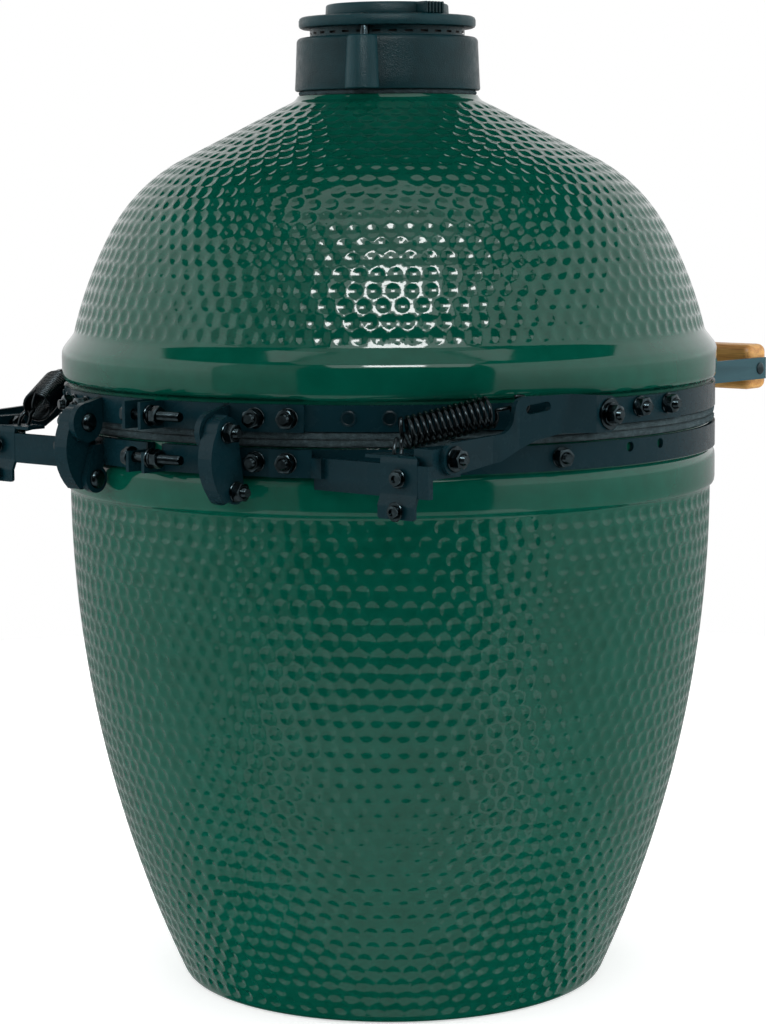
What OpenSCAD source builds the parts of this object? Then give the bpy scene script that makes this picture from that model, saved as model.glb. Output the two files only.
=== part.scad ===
// Kamado ceramic grill: a glazed ceramic base and a hinged dome, held by two
// steel bands. +Z is up, the front (handle, thermometer, draft door) faces -Y
// and the hinge is at +Y. The origin is the centre of the base's foot.

/* [Ceramic base] */
// Height of the base's top edge above the ground
base_h = 471; // [440:1:520]
// Largest radius of the base below its rim
body_r = 267.6; // [262:0.2:270]
// Radius of curvature of the base's wall
wall_curve_r = 1000; // [900:10:1300]
// Height of the base's widest point
widest_z = 418; // [400:1:430]
// Wall thickness of the ceramic shells
shell_t = 26; // [22:1:30]

/* [Ceramic dome] */
// Radius of the dome's rim
rim_r = 273; // [270:0.5:278]
// Radius of the chimney's bore
chimney_r = 50; // [40:1:54]

/* [Bands and gaskets] */
// Inner radius of both steel bands
band_r = 268.3; // [266:0.1:270]
// Thickness of the bands
band_t = 3.2; // [2:0.1:4]
// Height of the bands
band_h = 20; // [16:0.5:21]
// Thickness of each felt gasket
felt_t = 5.6; // [3:0.1:6]

/* [Hinge] */
// Distance of each rear link's middle plane from the centre plane
link_x = 79; // [76:1:90]
// Behind-the-axis position of the rear links' lower pivots
low_pivot_y = 275; // [274:0.5:280]
// Height of the rear links' lower pivots
low_pivot_z = 438; // [434:0.5:440]
// Behind-the-axis position of the rear links' upper pivots
top_pivot_y = 283; // [278:0.5:284]
// Height of the rear links' upper pivots
top_pivot_z = 483; // [482:0.5:490]
// Position of the side arms' rear pivots along Y
arm_pivot_y = 216; // [204:1:218]
// Height of the side arms' rear pivots
arm_pivot_z = 468; // [462:0.5:470]
// Position of the side arms' front pivots along Y
arm_front_y = 64; // [60:1:66]
// Height of the side arms' front pivots
arm_front_z = 492; // [490:0.5:494]

/* [Handle] */
// Length of the wooden grip
grip_l = 290; // [220:5:300]
// Height of the wooden grip
grip_h = 40; // [30:1:44]
// Distance of the grip's outer face from the axis
grip_out = 351; // [330:1:360]

/* [Draft door] */
// Width of the draft opening
draft_w = 140; // [100:2:150]
// Height of the draft opening
draft_h = 62; // [50:1:66]
// Height of the draft opening's centre
draft_z = 84; // [80:1:92]

/* [Cooking parts] */
// Radius of the cooking grid
grid_r = 229; // [220:1:232]
// Pitch of the cooking grid's bars
grid_pitch = 16; // [14:1:24]
// Radius of the charcoal grate
grate_r = 128; // [120:1:132]

/* [Hidden] */
$fn = 96;
gap = 0.3;
side_names = ["left", "right"];

// Heights that follow from the driving sizes.
dome_z = base_h + 2 * felt_t + gap;
band_out = band_r + band_t;
low_band_z = base_h - 1 - band_h;
top_band_z = dome_z + 0.5;
groove_r = band_r - 0.2;
base_rim_z = low_band_z - 2;
felt_out = band_out - 1;
felt_in = rim_r - shell_t - 3;

// Ceramic colours.
glaze = [0.07, 0.28, 0.20];
clay = [0.78, 0.70, 0.60];
black = [0.08, 0.10, 0.11];
steel = [0.62, 0.64, 0.66];
felt = [0.40, 0.43, 0.43];
iron = [0.16, 0.17, 0.20];
wood = [0.78, 0.55, 0.30];

// Points of an arc about c from angle a0 to a1, in n steps.
function arc(c, r, a0, a1, n) =
  [for (i = [0:n]) let (a = a0 + (a1 - a0) * i / n) c + r * [cos(a), sin(a)]];
// Radius of the base's wall at a height, less an inset.
function base_r(z, inset) =
  body_r - wall_curve_r + sqrt(pow(wall_curve_r - inset, 2) - pow(z - widest_z, 2));
// Point on a circle in plan, at an angle from +Y towards +X.
function plan(r, a) = [r * sin(a), r * cos(a)];

module ring(r_in, r_out, z, h) {
  translate([0, 0, z])
    difference() {
      cylinder(r = r_out, h = h, $fn = 180);
      translate([0, 0, -1]) cylinder(r = r_in, h = h + 2, $fn = 180);
    }
}

// A cylinder that runs along +X from x0 to x1 at (y, z).
module pin_x(x0, x1, y, z, r) {
  translate([x0, y, z]) rotate([0, 90, 0]) cylinder(r = r, h = x1 - x0);
}

// A hexagonal nut or head that runs along +X.
module hex_x(x0, x1, y, z, r) {
  translate([x0, y, z]) rotate([0, 90, 0]) cylinder(r = r, h = x1 - x0, $fn = 6);
}

// A straight rod between two points.
module rod(p, q, r) {
  d = q - p;
  translate(p)
    rotate([0, acos(d.z / norm(d)), atan2(d.y, d.x)])
      cylinder(r = r, h = norm(d), $fn = 24);
}

// A curved plate on the bands, between two angles from +Y towards +X.
module curved_plate(r_in, r_out, z, h, a0, a1) {
  reach = r_out * 1.2;
  mid = (a0 + a1) / 2;
  intersection() {
    ring(r_in, r_out, z, h);
    translate([0, 0, z - 1])
      linear_extrude(h + 2)
        polygon([[0, 0], plan(reach, a0), plan(reach, mid), plan(reach, a1)]);
  }
}

// Places a child on a band, looking out along the radius.
module on_band(angle, r, z) {
  rotate([0, 0, -angle]) translate([0, r, z]) rotate([-90, 0, 0]) children();
}

// Extrudes a (y, z) outline along +X from x0 to x1.
module slab_x(x0, x1) {
  translate([x0, 0, 0])
    rotate([90, 0, 90])
      linear_extrude(x1 - x0) children();
}

// Mirrors a child to the side that it is named for: +X is left.
module on_side(side) {
  if (side == "left") children();
  else mirror([1, 0, 0]) children();
}

// ---------------------------------------------------------------- ceramics

base_outer = concat(
  [[0, 0], [base_r(0, 0) - 10, 0]],
  arc([base_r(8, 0) - 10, 10], 10, -80, -25, 4),
  [for (z = [20:30:widest_z - 8]) [base_r(z, 0), z]],
  [[body_r, widest_z - 2], [body_r + 3, widest_z + 1], [rim_r - 1.5, widest_z + 5],
   [rim_r - 1.5, base_rim_z - 5], [rim_r - 3.5, base_rim_z - 1],
   [groove_r, base_rim_z], [groove_r, base_h], [0, base_h]]
);
base_floor = 28;
base_inner = concat(
  [[0, base_floor]],
  [for (z = [base_floor:35:base_h]) [base_r(z, shell_t), z]],
  [[base_r(base_h, shell_t), base_h + 5], [0, base_h + 5]]
);

draft_tilt = asin((widest_z - draft_z) / wall_curve_r);
draft_y = base_r(draft_z, 0);
boss_w = draft_w + 44;
boss_h = draft_h + 36;

// The draft door's own frame: outwards is -Y, along the wall is +Z.
module at_draft() {
  translate([0, -draft_y, draft_z]) rotate([draft_tilt, 0, 0]) children();
}

module base_shell() {
  color(glaze)
    difference() {
      union() {
        rotate_extrude($fn = 180) polygon(base_outer);
        at_draft() translate([-boss_w / 2, -3, -boss_h / 2]) cube([boss_w, 25, boss_h]);
      }
      rotate_extrude($fn = 180) polygon(base_inner);
      at_draft() translate([-draft_w / 2, -20, -draft_h / 2]) cube([draft_w, 90, draft_h]);
    }
}

box_top = 336;
module fire_box() {
  color(clay)
    difference() {
      rotate_extrude($fn = 120)
        polygon([[40, base_floor], [152, base_floor], [204, 190], [222, box_top],
                 [199, box_top], [184, 190], [158, 104], [grate_r + 1, 104],
                 [grate_r + 1, 96], [108, 96], [100, base_floor + 24],
                 [40, base_floor + 24]]);
      translate([-45, -240, 50]) cube([90, 165, 60]);
      for (a = [36:36:324])
        rotate([0, 0, -90 + a]) translate([90, 0, 240]) rotate([0, 90, 0])
          cylinder(r = 9, h = 150);
    }
}

ring_top = 437;
module fire_ring() {
  color(clay) ring(200, 226, box_top, ring_top - box_top);
}

dome_s = [262.4, 546];
arc_a_r = 335;
arc_b_r = 143;
tilt_0 = 13.5;
tilt_1 = 28.7;
tilt_2 = 63.1;
dome_ca = dome_s - arc_a_r * [cos(tilt_0), sin(tilt_0)];
dome_cb = dome_ca + (arc_a_r - arc_b_r) * [cos(tilt_1), sin(tilt_1)];
neck_r = 74.8;
neck_fillet = 10;
tilt_3 = 25;
neck_start_r = neck_r + neck_fillet * (cos(tilt_3) - cos(tilt_2));
flank = dome_cb + arc_b_r * [cos(tilt_2), sin(tilt_2)];
flank_l = (flank.x - neck_start_r) / sin(tilt_2);
neck_start = flank + flank_l * [-sin(tilt_2), cos(tilt_2)];
neck_c = neck_start + neck_fillet * [cos(tilt_2), sin(tilt_2)];
neck_z = neck_c.y - neck_fillet * sin(tilt_3);
inner_flank = dome_cb + (arc_b_r - shell_t) * [cos(tilt_2), sin(tilt_2)];
inner_l = (inner_flank.x - chimney_r) / sin(tilt_2);
inner_end = inner_flank + inner_l * [-sin(tilt_2), cos(tilt_2)];

dome_outer = concat(
  [[0, dome_z], [groove_r, dome_z], [groove_r, top_band_z + band_h + 2],
   [rim_r - 2, top_band_z + band_h + 4], [rim_r, top_band_z + band_h + 8],
   [rim_r, 529], [rim_r - 0.8, 532.5], [rim_r - 3, 536]],
  arc(dome_ca, arc_a_r, tilt_0, tilt_1, 6),
  arc(dome_cb, arc_b_r, tilt_1 + 3.4, tilt_2, 10),
  arc(neck_c, -neck_fillet, tilt_2, tilt_3, 4),
  [[0, neck_z]]
);
dome_inner = concat(
  [[0, dome_z - 1], [felt_in, dome_z - 1], [felt_in, dome_z + 14]],
  arc(dome_ca, arc_a_r - shell_t, tilt_0, tilt_1, 6),
  arc(dome_cb, arc_b_r - shell_t, tilt_1 + 3.4, tilt_2, 10),
  [inner_end, [chimney_r, neck_z + 1], [0, neck_z + 1]]
);

// The thermometer's own frame: its stem runs along +Z, out of the dome.
thermo_tilt = 42;
thermo_at = dome_cb + arc_b_r * [cos(thermo_tilt), sin(thermo_tilt)];
module at_thermometer() {
  translate([0, -thermo_at.x, thermo_at.y]) rotate([90 - thermo_tilt, 0, 0]) children();
}
stem_r = 4;

module dome_shell() {
  color(glaze)
    difference() {
      rotate_extrude($fn = 180) polygon(dome_outer);
      rotate_extrude($fn = 180) polygon(dome_inner);
      at_thermometer() translate([0, 0, -60]) cylinder(r = stem_r + 1, h = 80);
    }
}

module lower_gasket() {
  color(felt) ring(felt_in, felt_out, base_h, felt_t);
}

module upper_gasket() {
  color(felt) ring(felt_in, felt_out, base_h + felt_t + gap, felt_t);
}

// ---------------------------------------------------------------- cooking

module charcoal_grate() {
  color(iron)
    translate([0, 0, 96])
      difference() {
        cylinder(r = grate_r, h = 9);
        for (row = [0:3])
          for (i = [0:max(0, 6 * row - 1)])
            rotate([0, 0, row == 0 ? 0 : i * 60 / row])
              translate([row * 30, 0, -1]) cylinder(r = 8, h = 12, $fn = 24);
      }
}

module cooking_grid() {
  bar_r = 2.5;
  rim_w = 7;
  reach = grid_r - rim_w / 2;
  count = floor((reach - 8) / grid_pitch);
  color(steel)
    union() {
      ring(grid_r - rim_w, grid_r, ring_top, 7);
      for (i = [-count:count]) {
        x = i * grid_pitch;
        half = sqrt(pow(reach, 2) - pow(x, 2));
        translate([x, -half, ring_top + 3.6]) rotate([-90, 0, 0])
          cylinder(r = bar_r, h = 2 * half, $fn = 24);
      }
      for (y = [-90, 90])
        pin_x(-sqrt(pow(reach, 2) - pow(y, 2)), sqrt(pow(reach, 2) - pow(y, 2)),
              y, ring_top + 1.6, 1.5);
    }
}

// ---------------------------------------------------------------- bands

lug_x = 7;
lug_t = 3;
clamp_y = band_out + 18;
low_clamp_z = low_band_z + band_h / 2;
top_clamp_z = top_band_z + band_h / 2;
nut_r = 7.5;
bolt_r = 4;
spare_hole_angles = [84, 92];
side_bolt_angle = 69.5;
rivet_angles = [34.5, 41];
plate_nut_angles = [85.5, 93];
bracket_nut_angles = [19.5, 25];
handle_nut_angle = 152.5;

// An open band: it is cut at the back, where the clamp bolt closes it.
module band(z, hole_angles, hole_z) {
  color(black)
    difference() {
      ring(band_r, band_out, z, band_h);
      translate([-lug_x, band_r - 20, z - 1]) cube([2 * lug_x, 60, band_h + 2]);
      for (a = hole_angles, s = [-1, 1])
        on_band(s * a, band_r - 5, hole_z) cylinder(r = bolt_r, h = 20);
    }
}

module lower_band() {
  band(low_band_z, spare_hole_angles, low_band_z + band_h * 0.7);
}

module upper_band() {
  band(top_band_z, plate_nut_angles, top_band_z + band_h * 0.6);
}

bracket_t = 4;
bracket_out = band_out + bracket_t;
bracket_z_low = low_band_z - 1;
bracket_z_top = top_band_z - 0.5;
bracket_h = band_h + 1;

// The hinge bracket of one side: a plate on the band with the clamp's lug.
module bracket_plate(z) {
  curved_plate(band_out + 0.1, bracket_out, z, bracket_h, 1.6, 27.5);
}

ear_x = link_x - 13;
ear_t = 5.5;
ear_top_r = 15.5;
ear_low_r = 11;

module lower_bracket() {
  color(black)
    difference() {
      union() {
        bracket_plate(bracket_z_low);
        translate([lug_x, band_out + 0.2, bracket_z_low]) cube([lug_t, 25, 16]);
        slab_x(ear_x, ear_x + ear_t) {
          translate([low_pivot_y, low_pivot_z]) circle(r = ear_low_r);
          polygon([[264.5, bracket_z_low + 3], [264.5, bracket_z_low + 16],
                   [low_pivot_y + 2, bracket_z_low + 16],
                   [low_pivot_y + ear_low_r - 0.3, low_pivot_z + 2],
                   [low_pivot_y, low_pivot_z]]);
        }
      }
      pin_x(ear_x - 1, ear_x + ear_t + 1, low_pivot_y, low_pivot_z, bolt_r + 0.05);
      pin_x(0, 20, clamp_y, low_clamp_z, bolt_r + 0.3);
      for (a = bracket_nut_angles)
        on_band(a, band_out - 2, low_clamp_z) cylinder(r = bolt_r - 0.8, h = 10);
    }
}

module upper_bracket() {
  color(black)
    difference() {
      union() {
        bracket_plate(bracket_z_top);
        translate([lug_x, band_out + 0.2, bracket_z_top]) cube([lug_t, 28, bracket_h]);
        slab_x(ear_x, ear_x + ear_t) {
          translate([top_pivot_y, top_pivot_z]) circle(r = ear_top_r);
          polygon([[264.5, bracket_z_top], [264.5, bracket_z_top + bracket_h - 1],
                   [top_pivot_y, top_pivot_z + ear_top_r],
                   [top_pivot_y, top_pivot_z]]);
        }
      }
      pin_x(ear_x - 1, ear_x + ear_t + 1, top_pivot_y, top_pivot_z, bolt_r + 0.05);
      pin_x(0, 20, clamp_y, top_clamp_z, bolt_r + 0.3);
      for (a = bracket_nut_angles)
        on_band(a, band_out - 2, top_clamp_z) cylinder(r = bolt_r - 0.8, h = 10);
    }
}

// The clamp bolt across the band's cut, with its washers and nut.
module clamp_bolt(z) {
  color(iron) {
    union() {
      pin_x(-42, lug_x + lug_t + 0.5, clamp_y, z, bolt_r);
      hex_x(lug_x + lug_t + 0.4, lug_x + lug_t + 6, clamp_y, z, nut_r);
    }
    difference() {
      union() {
        pin_x(-14.4, -lug_x - lug_t - 0.1, clamp_y, z, nut_r + 1);
        hex_x(-21, -14.5, clamp_y, z, nut_r);
      }
      pin_x(-30, 0, clamp_y, z, bolt_r + 0.05);
    }
  }
}

// A carriage bolt through a band: stud, nut and washer, outwards along +Z.
module stud_and_nut(reach) {
  cylinder(r = bolt_r - 1, h = reach + 9);
  translate([0, 0, reach]) cylinder(r = nut_r, h = 1.4);
  translate([0, 0, reach + 1.3]) cylinder(r = nut_r - 1, h = 4.5, $fn = 6);
}

module lower_band_bolts() {
  color(iron) {
    for (s = [-1, 1]) {
      on_band(s * side_bolt_angle, band_out, low_clamp_z) stud_and_nut(0.1);
      on_band(s * bracket_nut_angles[0], band_out, low_clamp_z)
        stud_and_nut(bracket_t + 0.1);
      on_band(s * bracket_nut_angles[1], band_out, low_clamp_z)
        stud_and_nut(2 * bracket_t + 0.2);
    }
  }
}

module arm_plate_bolts() {
  color(iron)
    for (s = [-1, 1]) {
      for (a = plate_nut_angles)
        on_band(s * a, band_out - 3, top_band_z + band_h * 0.6)
          stud_and_nut(3 + arm_plate_t + 0.1);
      for (a = bracket_nut_angles)
        on_band(s * a, band_out, top_clamp_z) stud_and_nut(bracket_t + 0.1);
    }
}

module band_rivets() {
  color(black)
    for (s = [-1, 1], a = rivet_angles)
      on_band(s * a, band_out + 0.05, top_clamp_z) {
        cylinder(r1 = 5, r2 = 3.4, h = 2.2, $fn = 36);
      }
}

// ---------------------------------------------------------------- rear links

link_x0 = link_x - 7;
link_x1 = link_x + 7;
link_wall = 3;
link_c = [258, 462];
link_bulge = 43;

// Outline of a rear link in (y, z), with its back edge moved in by an inset.
module link_outline(inset) {
  union() {
    translate([top_pivot_y, top_pivot_z]) circle(r = 12 - inset);
    translate([low_pivot_y, low_pivot_z]) circle(r = 9.5 - inset);
    polygon(concat(
      [[top_pivot_y - 10.5, top_pivot_z], [low_pivot_y - 9, low_pivot_z]],
      arc(link_c, link_bulge - inset, -47, 53, 12)));
  }
}

module rear_link() {
  color(black)
    difference() {
      slab_x(link_x0, link_x1) link_outline(0);
      slab_x(link_x0 + link_wall, link_x1 - link_wall)
        difference() {
          union() {
            link_outline(link_wall);
            translate([240, 415]) square([top_pivot_y - 240, 100]);
          }
        }
      pin_x(link_x0 - 1, link_x1 + 1, top_pivot_y, top_pivot_z, bolt_r + 0.05);
      pin_x(link_x0 - 1, link_x1 + 1, low_pivot_y, low_pivot_z, bolt_r + 0.05);
    }
}

// A pivot bolt through a bracket's ear and a link, head inwards.
module link_bolt(y, z) {
  union() {
    pin_x(ear_x - 0.4, link_x1 + 9, y, z, bolt_r);
    pin_x(ear_x - 5, ear_x - 0.3, y, z, nut_r);
  }
  difference() {
    hex_x(link_x1 + 0.3, link_x1 + 6, y, z, nut_r);
    pin_x(link_x1, link_x1 + 7, y, z, bolt_r + 0.05);
  }
}

module link_pivot_bolts_low() {
  color(iron)
    for (side = side_names) on_side(side) link_bolt(low_pivot_y, low_pivot_z);
}

module link_pivot_bolts_top() {
  color(iron)
    for (side = side_names) on_side(side) link_bolt(top_pivot_y, top_pivot_z);
}

// ---------------------------------------------------------------- spring bars

bar_t = 5;
bar_y = 236;
bar_z = 440;
bar_h = 24;
bar_x0 = 134;
bar_x1 = 246;

module spring_bar() {
  color(black)
    difference() {
      union() {
        curved_plate(bracket_out + 0.1, bracket_out + bracket_t, bracket_z_low,
                     bracket_h, 22, 29);
        translate([bar_x0, bar_y, bar_z]) cube([bar_x1 - bar_x0, bar_t, bar_h]);
        translate([bar_x0 - 1, bar_y, bar_z + 9]) cube([12, 9, bar_h - 9]);
      }
      on_band(bracket_nut_angles[1], band_out - 2, low_clamp_z)
        cylinder(r = bolt_r - 0.9, h = 20);
      for (z = anchor_screw_z)
        translate([anchor_x, bar_y - 1, z]) rotate([-90, 0, 0]) cylinder(r = 3.1, h = 20);
    }
}

anchor_x = 219;
anchor_w = 36;
anchor_t = 2.5;
anchor_z0 = 443;
tab_x = 183;
tab_y = 216;
tab_z = 469;
anchor_screw_z = [454];
hook_hole = [205, 226];

// A Z-shaped plate on the back of the bar: it carries the spring's hook.
module anchor_plate() {
  back = bar_y + bar_t + 0.1;
  color(black)
    difference() {
      union() {
        translate([anchor_x - anchor_w / 2 - 4, back, anchor_z0])
          cube([anchor_w, anchor_t, tab_z - anchor_z0 + anchor_t]);
        translate([anchor_x - anchor_w / 2, back + 0, 436])
          cube([anchor_w, anchor_t + 3, 8]);
        translate([anchor_x - anchor_w / 2, back + 3, 424])
          cube([anchor_w, anchor_t, 13]);
        translate([tab_x, tab_y, tab_z]) cube([34, back + anchor_t - tab_y, anchor_t]);
      }
      translate([hook_hole.x, hook_hole.y, tab_z - 1]) cylinder(r = 3, h = 6);
      for (z = [454, 430])
        translate([anchor_x, back - 1, z]) rotate([-90, 0, 0]) cylinder(r = 3.1, h = 12);
    }
}

module anchor_screws() {
  back = bar_y + bar_t + 0.1;
  color(iron)
    for (side = side_names)
      on_side(side) {
        translate([anchor_x, bar_y - 4, 454]) rotate([-90, 0, 0])
          cylinder(r = 3, h = bar_t + anchor_t + 5);
        translate([anchor_x, back + anchor_t + 0.1, 454]) rotate([-90, 0, 0])
          cylinder(r = 5.5, h = 3.2);
        translate([anchor_x, back + 3 - 4, 430]) rotate([-90, 0, 0])
          cylinder(r = 3, h = anchor_t + 5);
        translate([anchor_x, back + 3 + anchor_t + 0.1, 430]) rotate([-90, 0, 0])
          cylinder(r = 5, h = 3);
      }
}

// ---------------------------------------------------------------- side arms

arm_t = 4;
arm_x_rear = 246;
arm_x_front = 272.3;
arm_hub_r = 12;
arm_end_r = 14;
// The front pivot rides in a slot that is open by the linkage's play.
slot_l = 11.5;
slot_w = 12.2;
slot_shift = [-0.95, -1.5];
arm_dir = [arm_front_y - arm_pivot_y, arm_front_z - arm_pivot_z];
arm_angle = atan2(arm_dir.y, arm_dir.x);

// The arm's shape seen from the side, in (y, z).
module arm_outline() {
  difference() {
    union() {
      translate([arm_pivot_y, arm_pivot_z]) circle(r = arm_hub_r);
      translate([arm_front_y, arm_front_z]) circle(r = arm_end_r);
      polygon(concat(
        [[arm_pivot_y, arm_pivot_z - arm_hub_r], [164, 462], [132, 476],
         [110, 480], [arm_front_y, arm_front_z - arm_end_r],
         [arm_front_y, arm_front_z + arm_end_r], [100, 509]],
        arc([140, 499], 10, 90, 0, 4),
        arc([165, 496], -14, 0, 90, 5),
        [[arm_pivot_y, arm_pivot_z + arm_hub_r]]));
    }
    translate([arm_front_y, arm_front_z])
      rotate(arm_angle) translate(slot_shift)
        union() {
          square([slot_l, slot_w], center = true);
          for (s = [-1, 1]) translate([s * slot_l / 2, 0]) circle(d = slot_w);
        }
    translate([130, 500]) rotate(-8) union() {
      square([14, 7], center = true);
      for (s = [-1, 1]) translate([s * 7, 0]) circle(d = 7);
    }
  }
}

// The arm's path seen from above: it bends in round the band, towards the hub.
module arm_plan() {
  path = [[arm_x_front, 10], [arm_x_front, 80], [262, 112], [250.5, 146],
          [arm_x_rear, 172], [arm_x_rear, 240]];
  polygon(concat(path, [for (i = [len(path) - 1:-1:0]) path[i] + [arm_t, 0]]));
}

module side_arm() {
  color(black)
    difference() {
      intersection() {
        slab_x(arm_x_rear - 10, arm_x_front + 20) arm_outline();
        translate([0, 0, 440]) linear_extrude(90) arm_plan();
      }
      pin_x(arm_x_rear - 5, arm_x_rear + 20, arm_pivot_y, arm_pivot_z, bolt_r + 0.05);
    }
}

// The block that holds an arm's rear pivot, on the end of the spring bar.
module arm_pivot_blocks() {
  color(black)
    for (side = side_names)
      on_side(side)
        difference() {
          union() {
            translate([228, arm_pivot_y - 12, bar_z + 14])
              cube([arm_x_rear - 228 - 0.4, bar_y - arm_pivot_y + 11.8, 22]);
          }
          pin_x(220, 260, arm_pivot_y, arm_pivot_z, bolt_r + 0.05);
        }
}

module arm_pivot_bolts_rear() {
  color(iron)
    for (side = side_names)
      on_side(side)
        union() {
          pin_x(227, arm_x_rear + arm_t + 3, arm_pivot_y, arm_pivot_z, bolt_r);
          pin_x(222, 227.8, arm_pivot_y, arm_pivot_z, nut_r);
          pin_x(arm_x_rear + arm_t + 0.3, arm_x_rear + arm_t + 2, arm_pivot_y,
                arm_pivot_z, 10);
          pin_x(arm_x_rear + arm_t + 1.9, arm_x_rear + arm_t + 8, arm_pivot_y,
                arm_pivot_z, 8);
        }
}

arm_plate_t = 3;

module arm_plate() {
  color(black)
    difference() {
      union() {
        curved_plate(band_out + 0.1, band_out + arm_plate_t, top_band_z,
                     band_h, 77, 97.5);
        pin_x(255, arm_x_front - 0.4, arm_front_y, arm_front_z, 8);
      }
      ring(200, band_out + 0.1, top_band_z - 10, band_h + 20);
      for (a = plate_nut_angles)
        on_band(a, band_out - 2, top_band_z + band_h * 0.6)
          cylinder(r = bolt_r - 0.8, h = 10);
      pin_x(250, 280, arm_front_y, arm_front_z, bolt_r + 0.05);
    }
}

module arm_pivot_bolts_front() {
  color(iron)
    for (side = side_names)
      on_side(side)
        union() {
          pin_x(band_out - 3.4, arm_x_front + arm_t + 3, arm_front_y, arm_front_z, bolt_r);
          pin_x(arm_x_front + arm_t + 0.3, arm_x_front + arm_t + 2, arm_front_y,
                arm_front_z, 12);
          pin_x(arm_x_front + arm_t + 1.9, arm_x_front + arm_t + 12, arm_front_y,
                arm_front_z, 7);
        }
}

// ---------------------------------------------------------------- springs

coil_r = 12.4;
wire_r = 1.5;
coil_a = [201, 215, 484];
coil_b = [237.5, 159, 498];

module spring() {
  color(iron)
    union() {
      rod(coil_a, coil_b, coil_r);
      rod([hook_hole.x, hook_hole.y, tab_z - 4], [hook_hole.x, hook_hole.y, tab_z + 8],
          wire_r);
      rod([hook_hole.x, hook_hole.y, tab_z + 7], coil_a, wire_r);
    }
}

// ---------------------------------------------------------------- handle

arm_x = grip_l / 2 + 1;
strip_t = 4;
strip_h = 19;
strip_z = 490;
grip_z = 500.5;
grip_d = 30;
grip_bolt_y = -grip_out + grip_d / 2 + 5;

module handle_bracket() {
  foot_in = band_out + 0.1;
  color(black)
    difference() {
      union() {
        curved_plate(foot_in, foot_in + strip_t, top_band_z, band_h, 143, 156);
        translate([arm_x, -grip_out + 10, strip_z]) cube([strip_t, 112, strip_h]);
        translate([arm_x, -238, top_band_z])
          cube([strip_t, 12, strip_z - top_band_z + 1]);
      }
      ring(150, foot_in, top_band_z - 5, band_h + 2);
      ring(150, rim_r + 1, top_band_z + band_h - 3, 30);
      on_band(handle_nut_angle, band_out - 2, top_clamp_z) cylinder(r = 3.2, h = 12);
      pin_x(arm_x - 1, arm_x + strip_t + 1, grip_bolt_y, grip_z - 1, 3.2);
    }
}

module handle_grip() {
  corner = 7;
  color(wood)
    difference() {
      translate([-grip_l / 2, 0, 0])
        slab_x(0, grip_l)
          offset(r = corner, $fn = 32)
            translate([-grip_out + corner, grip_z - grip_h / 2 + corner])
              square([grip_d - 2 * corner, grip_h - 2 * corner]);
      for (s = [-1, 1])
        pin_x(s * grip_l / 2 - 22, s * grip_l / 2 + 22, grip_bolt_y, grip_z - 1, 2.9);
    }
}

module handle_bolts() {
  color(iron)
    for (side = side_names)
      on_side(side) {
        union() {
          pin_x(arm_x - 20, arm_x + strip_t + 1, grip_bolt_y, grip_z - 1, 2.8);
          pin_x(arm_x + strip_t + 0.1, arm_x + strip_t + 3, grip_bolt_y, grip_z - 1, 6);
        }
        on_band(handle_nut_angle, band_out + 0.1, top_clamp_z) {
          cylinder(r = 3, h = strip_t + 9);
          translate([0, 0, strip_t + 0.1]) cylinder(r = nut_r - 1, h = 5, $fn = 6);
        }
      }
}

// ---------------------------------------------------------------- thermometer

case_r = 29;
needle_pin_r = 1.2;

module thermometer_case() {
  color(steel)
    at_thermometer()
      difference() {
        union() {
          translate([0, 0, 3.5]) cylinder(r = case_r, h = 12);
          translate([0, 0, 0.5]) cylinder(r = 9, h = 4);
        }
        difference() {
          translate([0, 0, 6]) cylinder(r = case_r - 3, h = 12);
          translate([0, 0, 5]) cylinder(r = needle_pin_r, h = 5.2);
        }
        translate([0, 0, -1]) cylinder(r = stem_r - 0.4, h = 5);
      }
}

module thermometer_dial() {
  color([0.9, 0.9, 0.88])
    at_thermometer()
      difference() {
        translate([0, 0, 6.05]) cylinder(r = case_r - 3.1, h = 0.8);
        translate([0, 0, 5]) cylinder(r = needle_pin_r + 0.2, h = 4);
      }
}

module thermometer_stem() {
  color(steel)
    at_thermometer() translate([0, 0, -90]) cylinder(r = stem_r - 1, h = 91);
}

module thermometer_nut() {
  color(steel)
    at_thermometer()
      difference() {
        translate([0, 0, -shell_t - 8]) cylinder(r = 9, h = 6, $fn = 6);
        translate([0, 0, -shell_t - 9]) cylinder(r = stem_r - 0.95, h = 10);
      }
}

module thermometer_needle() {
  color("red")
    at_thermometer()
      translate([0, 0, 8])
        difference() {
          union() {
            cylinder(r = 3, h = 1.6);
            translate([-0.9, -6, 0.3]) cube([1.8, 28, 1]);
          }
          translate([0, 0, -1]) cylinder(r = needle_pin_r + 0.05, h = 4);
        }
}

module thermometer_lens() {
  color([0.85, 0.9, 0.9, 0.4])
    at_thermometer() translate([0, 0, 12]) cylinder(r = case_r - 3.05, h = 2);
}

// ---------------------------------------------------------------- top vent

collar_z = neck_z + 4;
collar_h = 40.5;
collar_r = 76.7;
throat_r = chimney_r + 6;
lid_z = collar_z + collar_h + gap;
lid_r = 73.2;
spigot_r = 64;
spigot_h = 8.4;
lid_h = 18;
lid_plate_z = lid_z + spigot_h;
dial_z = lid_z + lid_h + gap;
dial_r = 51;
dial_h = 10;
petals = 5;
pivot_angle = -25;
pivot_at = plan(66.5, pivot_angle);
boss_at = plan(71.5, pivot_angle);

module vent_gasket() {
  color(felt) ring(chimney_r, neck_r - 0.5, neck_z, 4);
}

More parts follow.
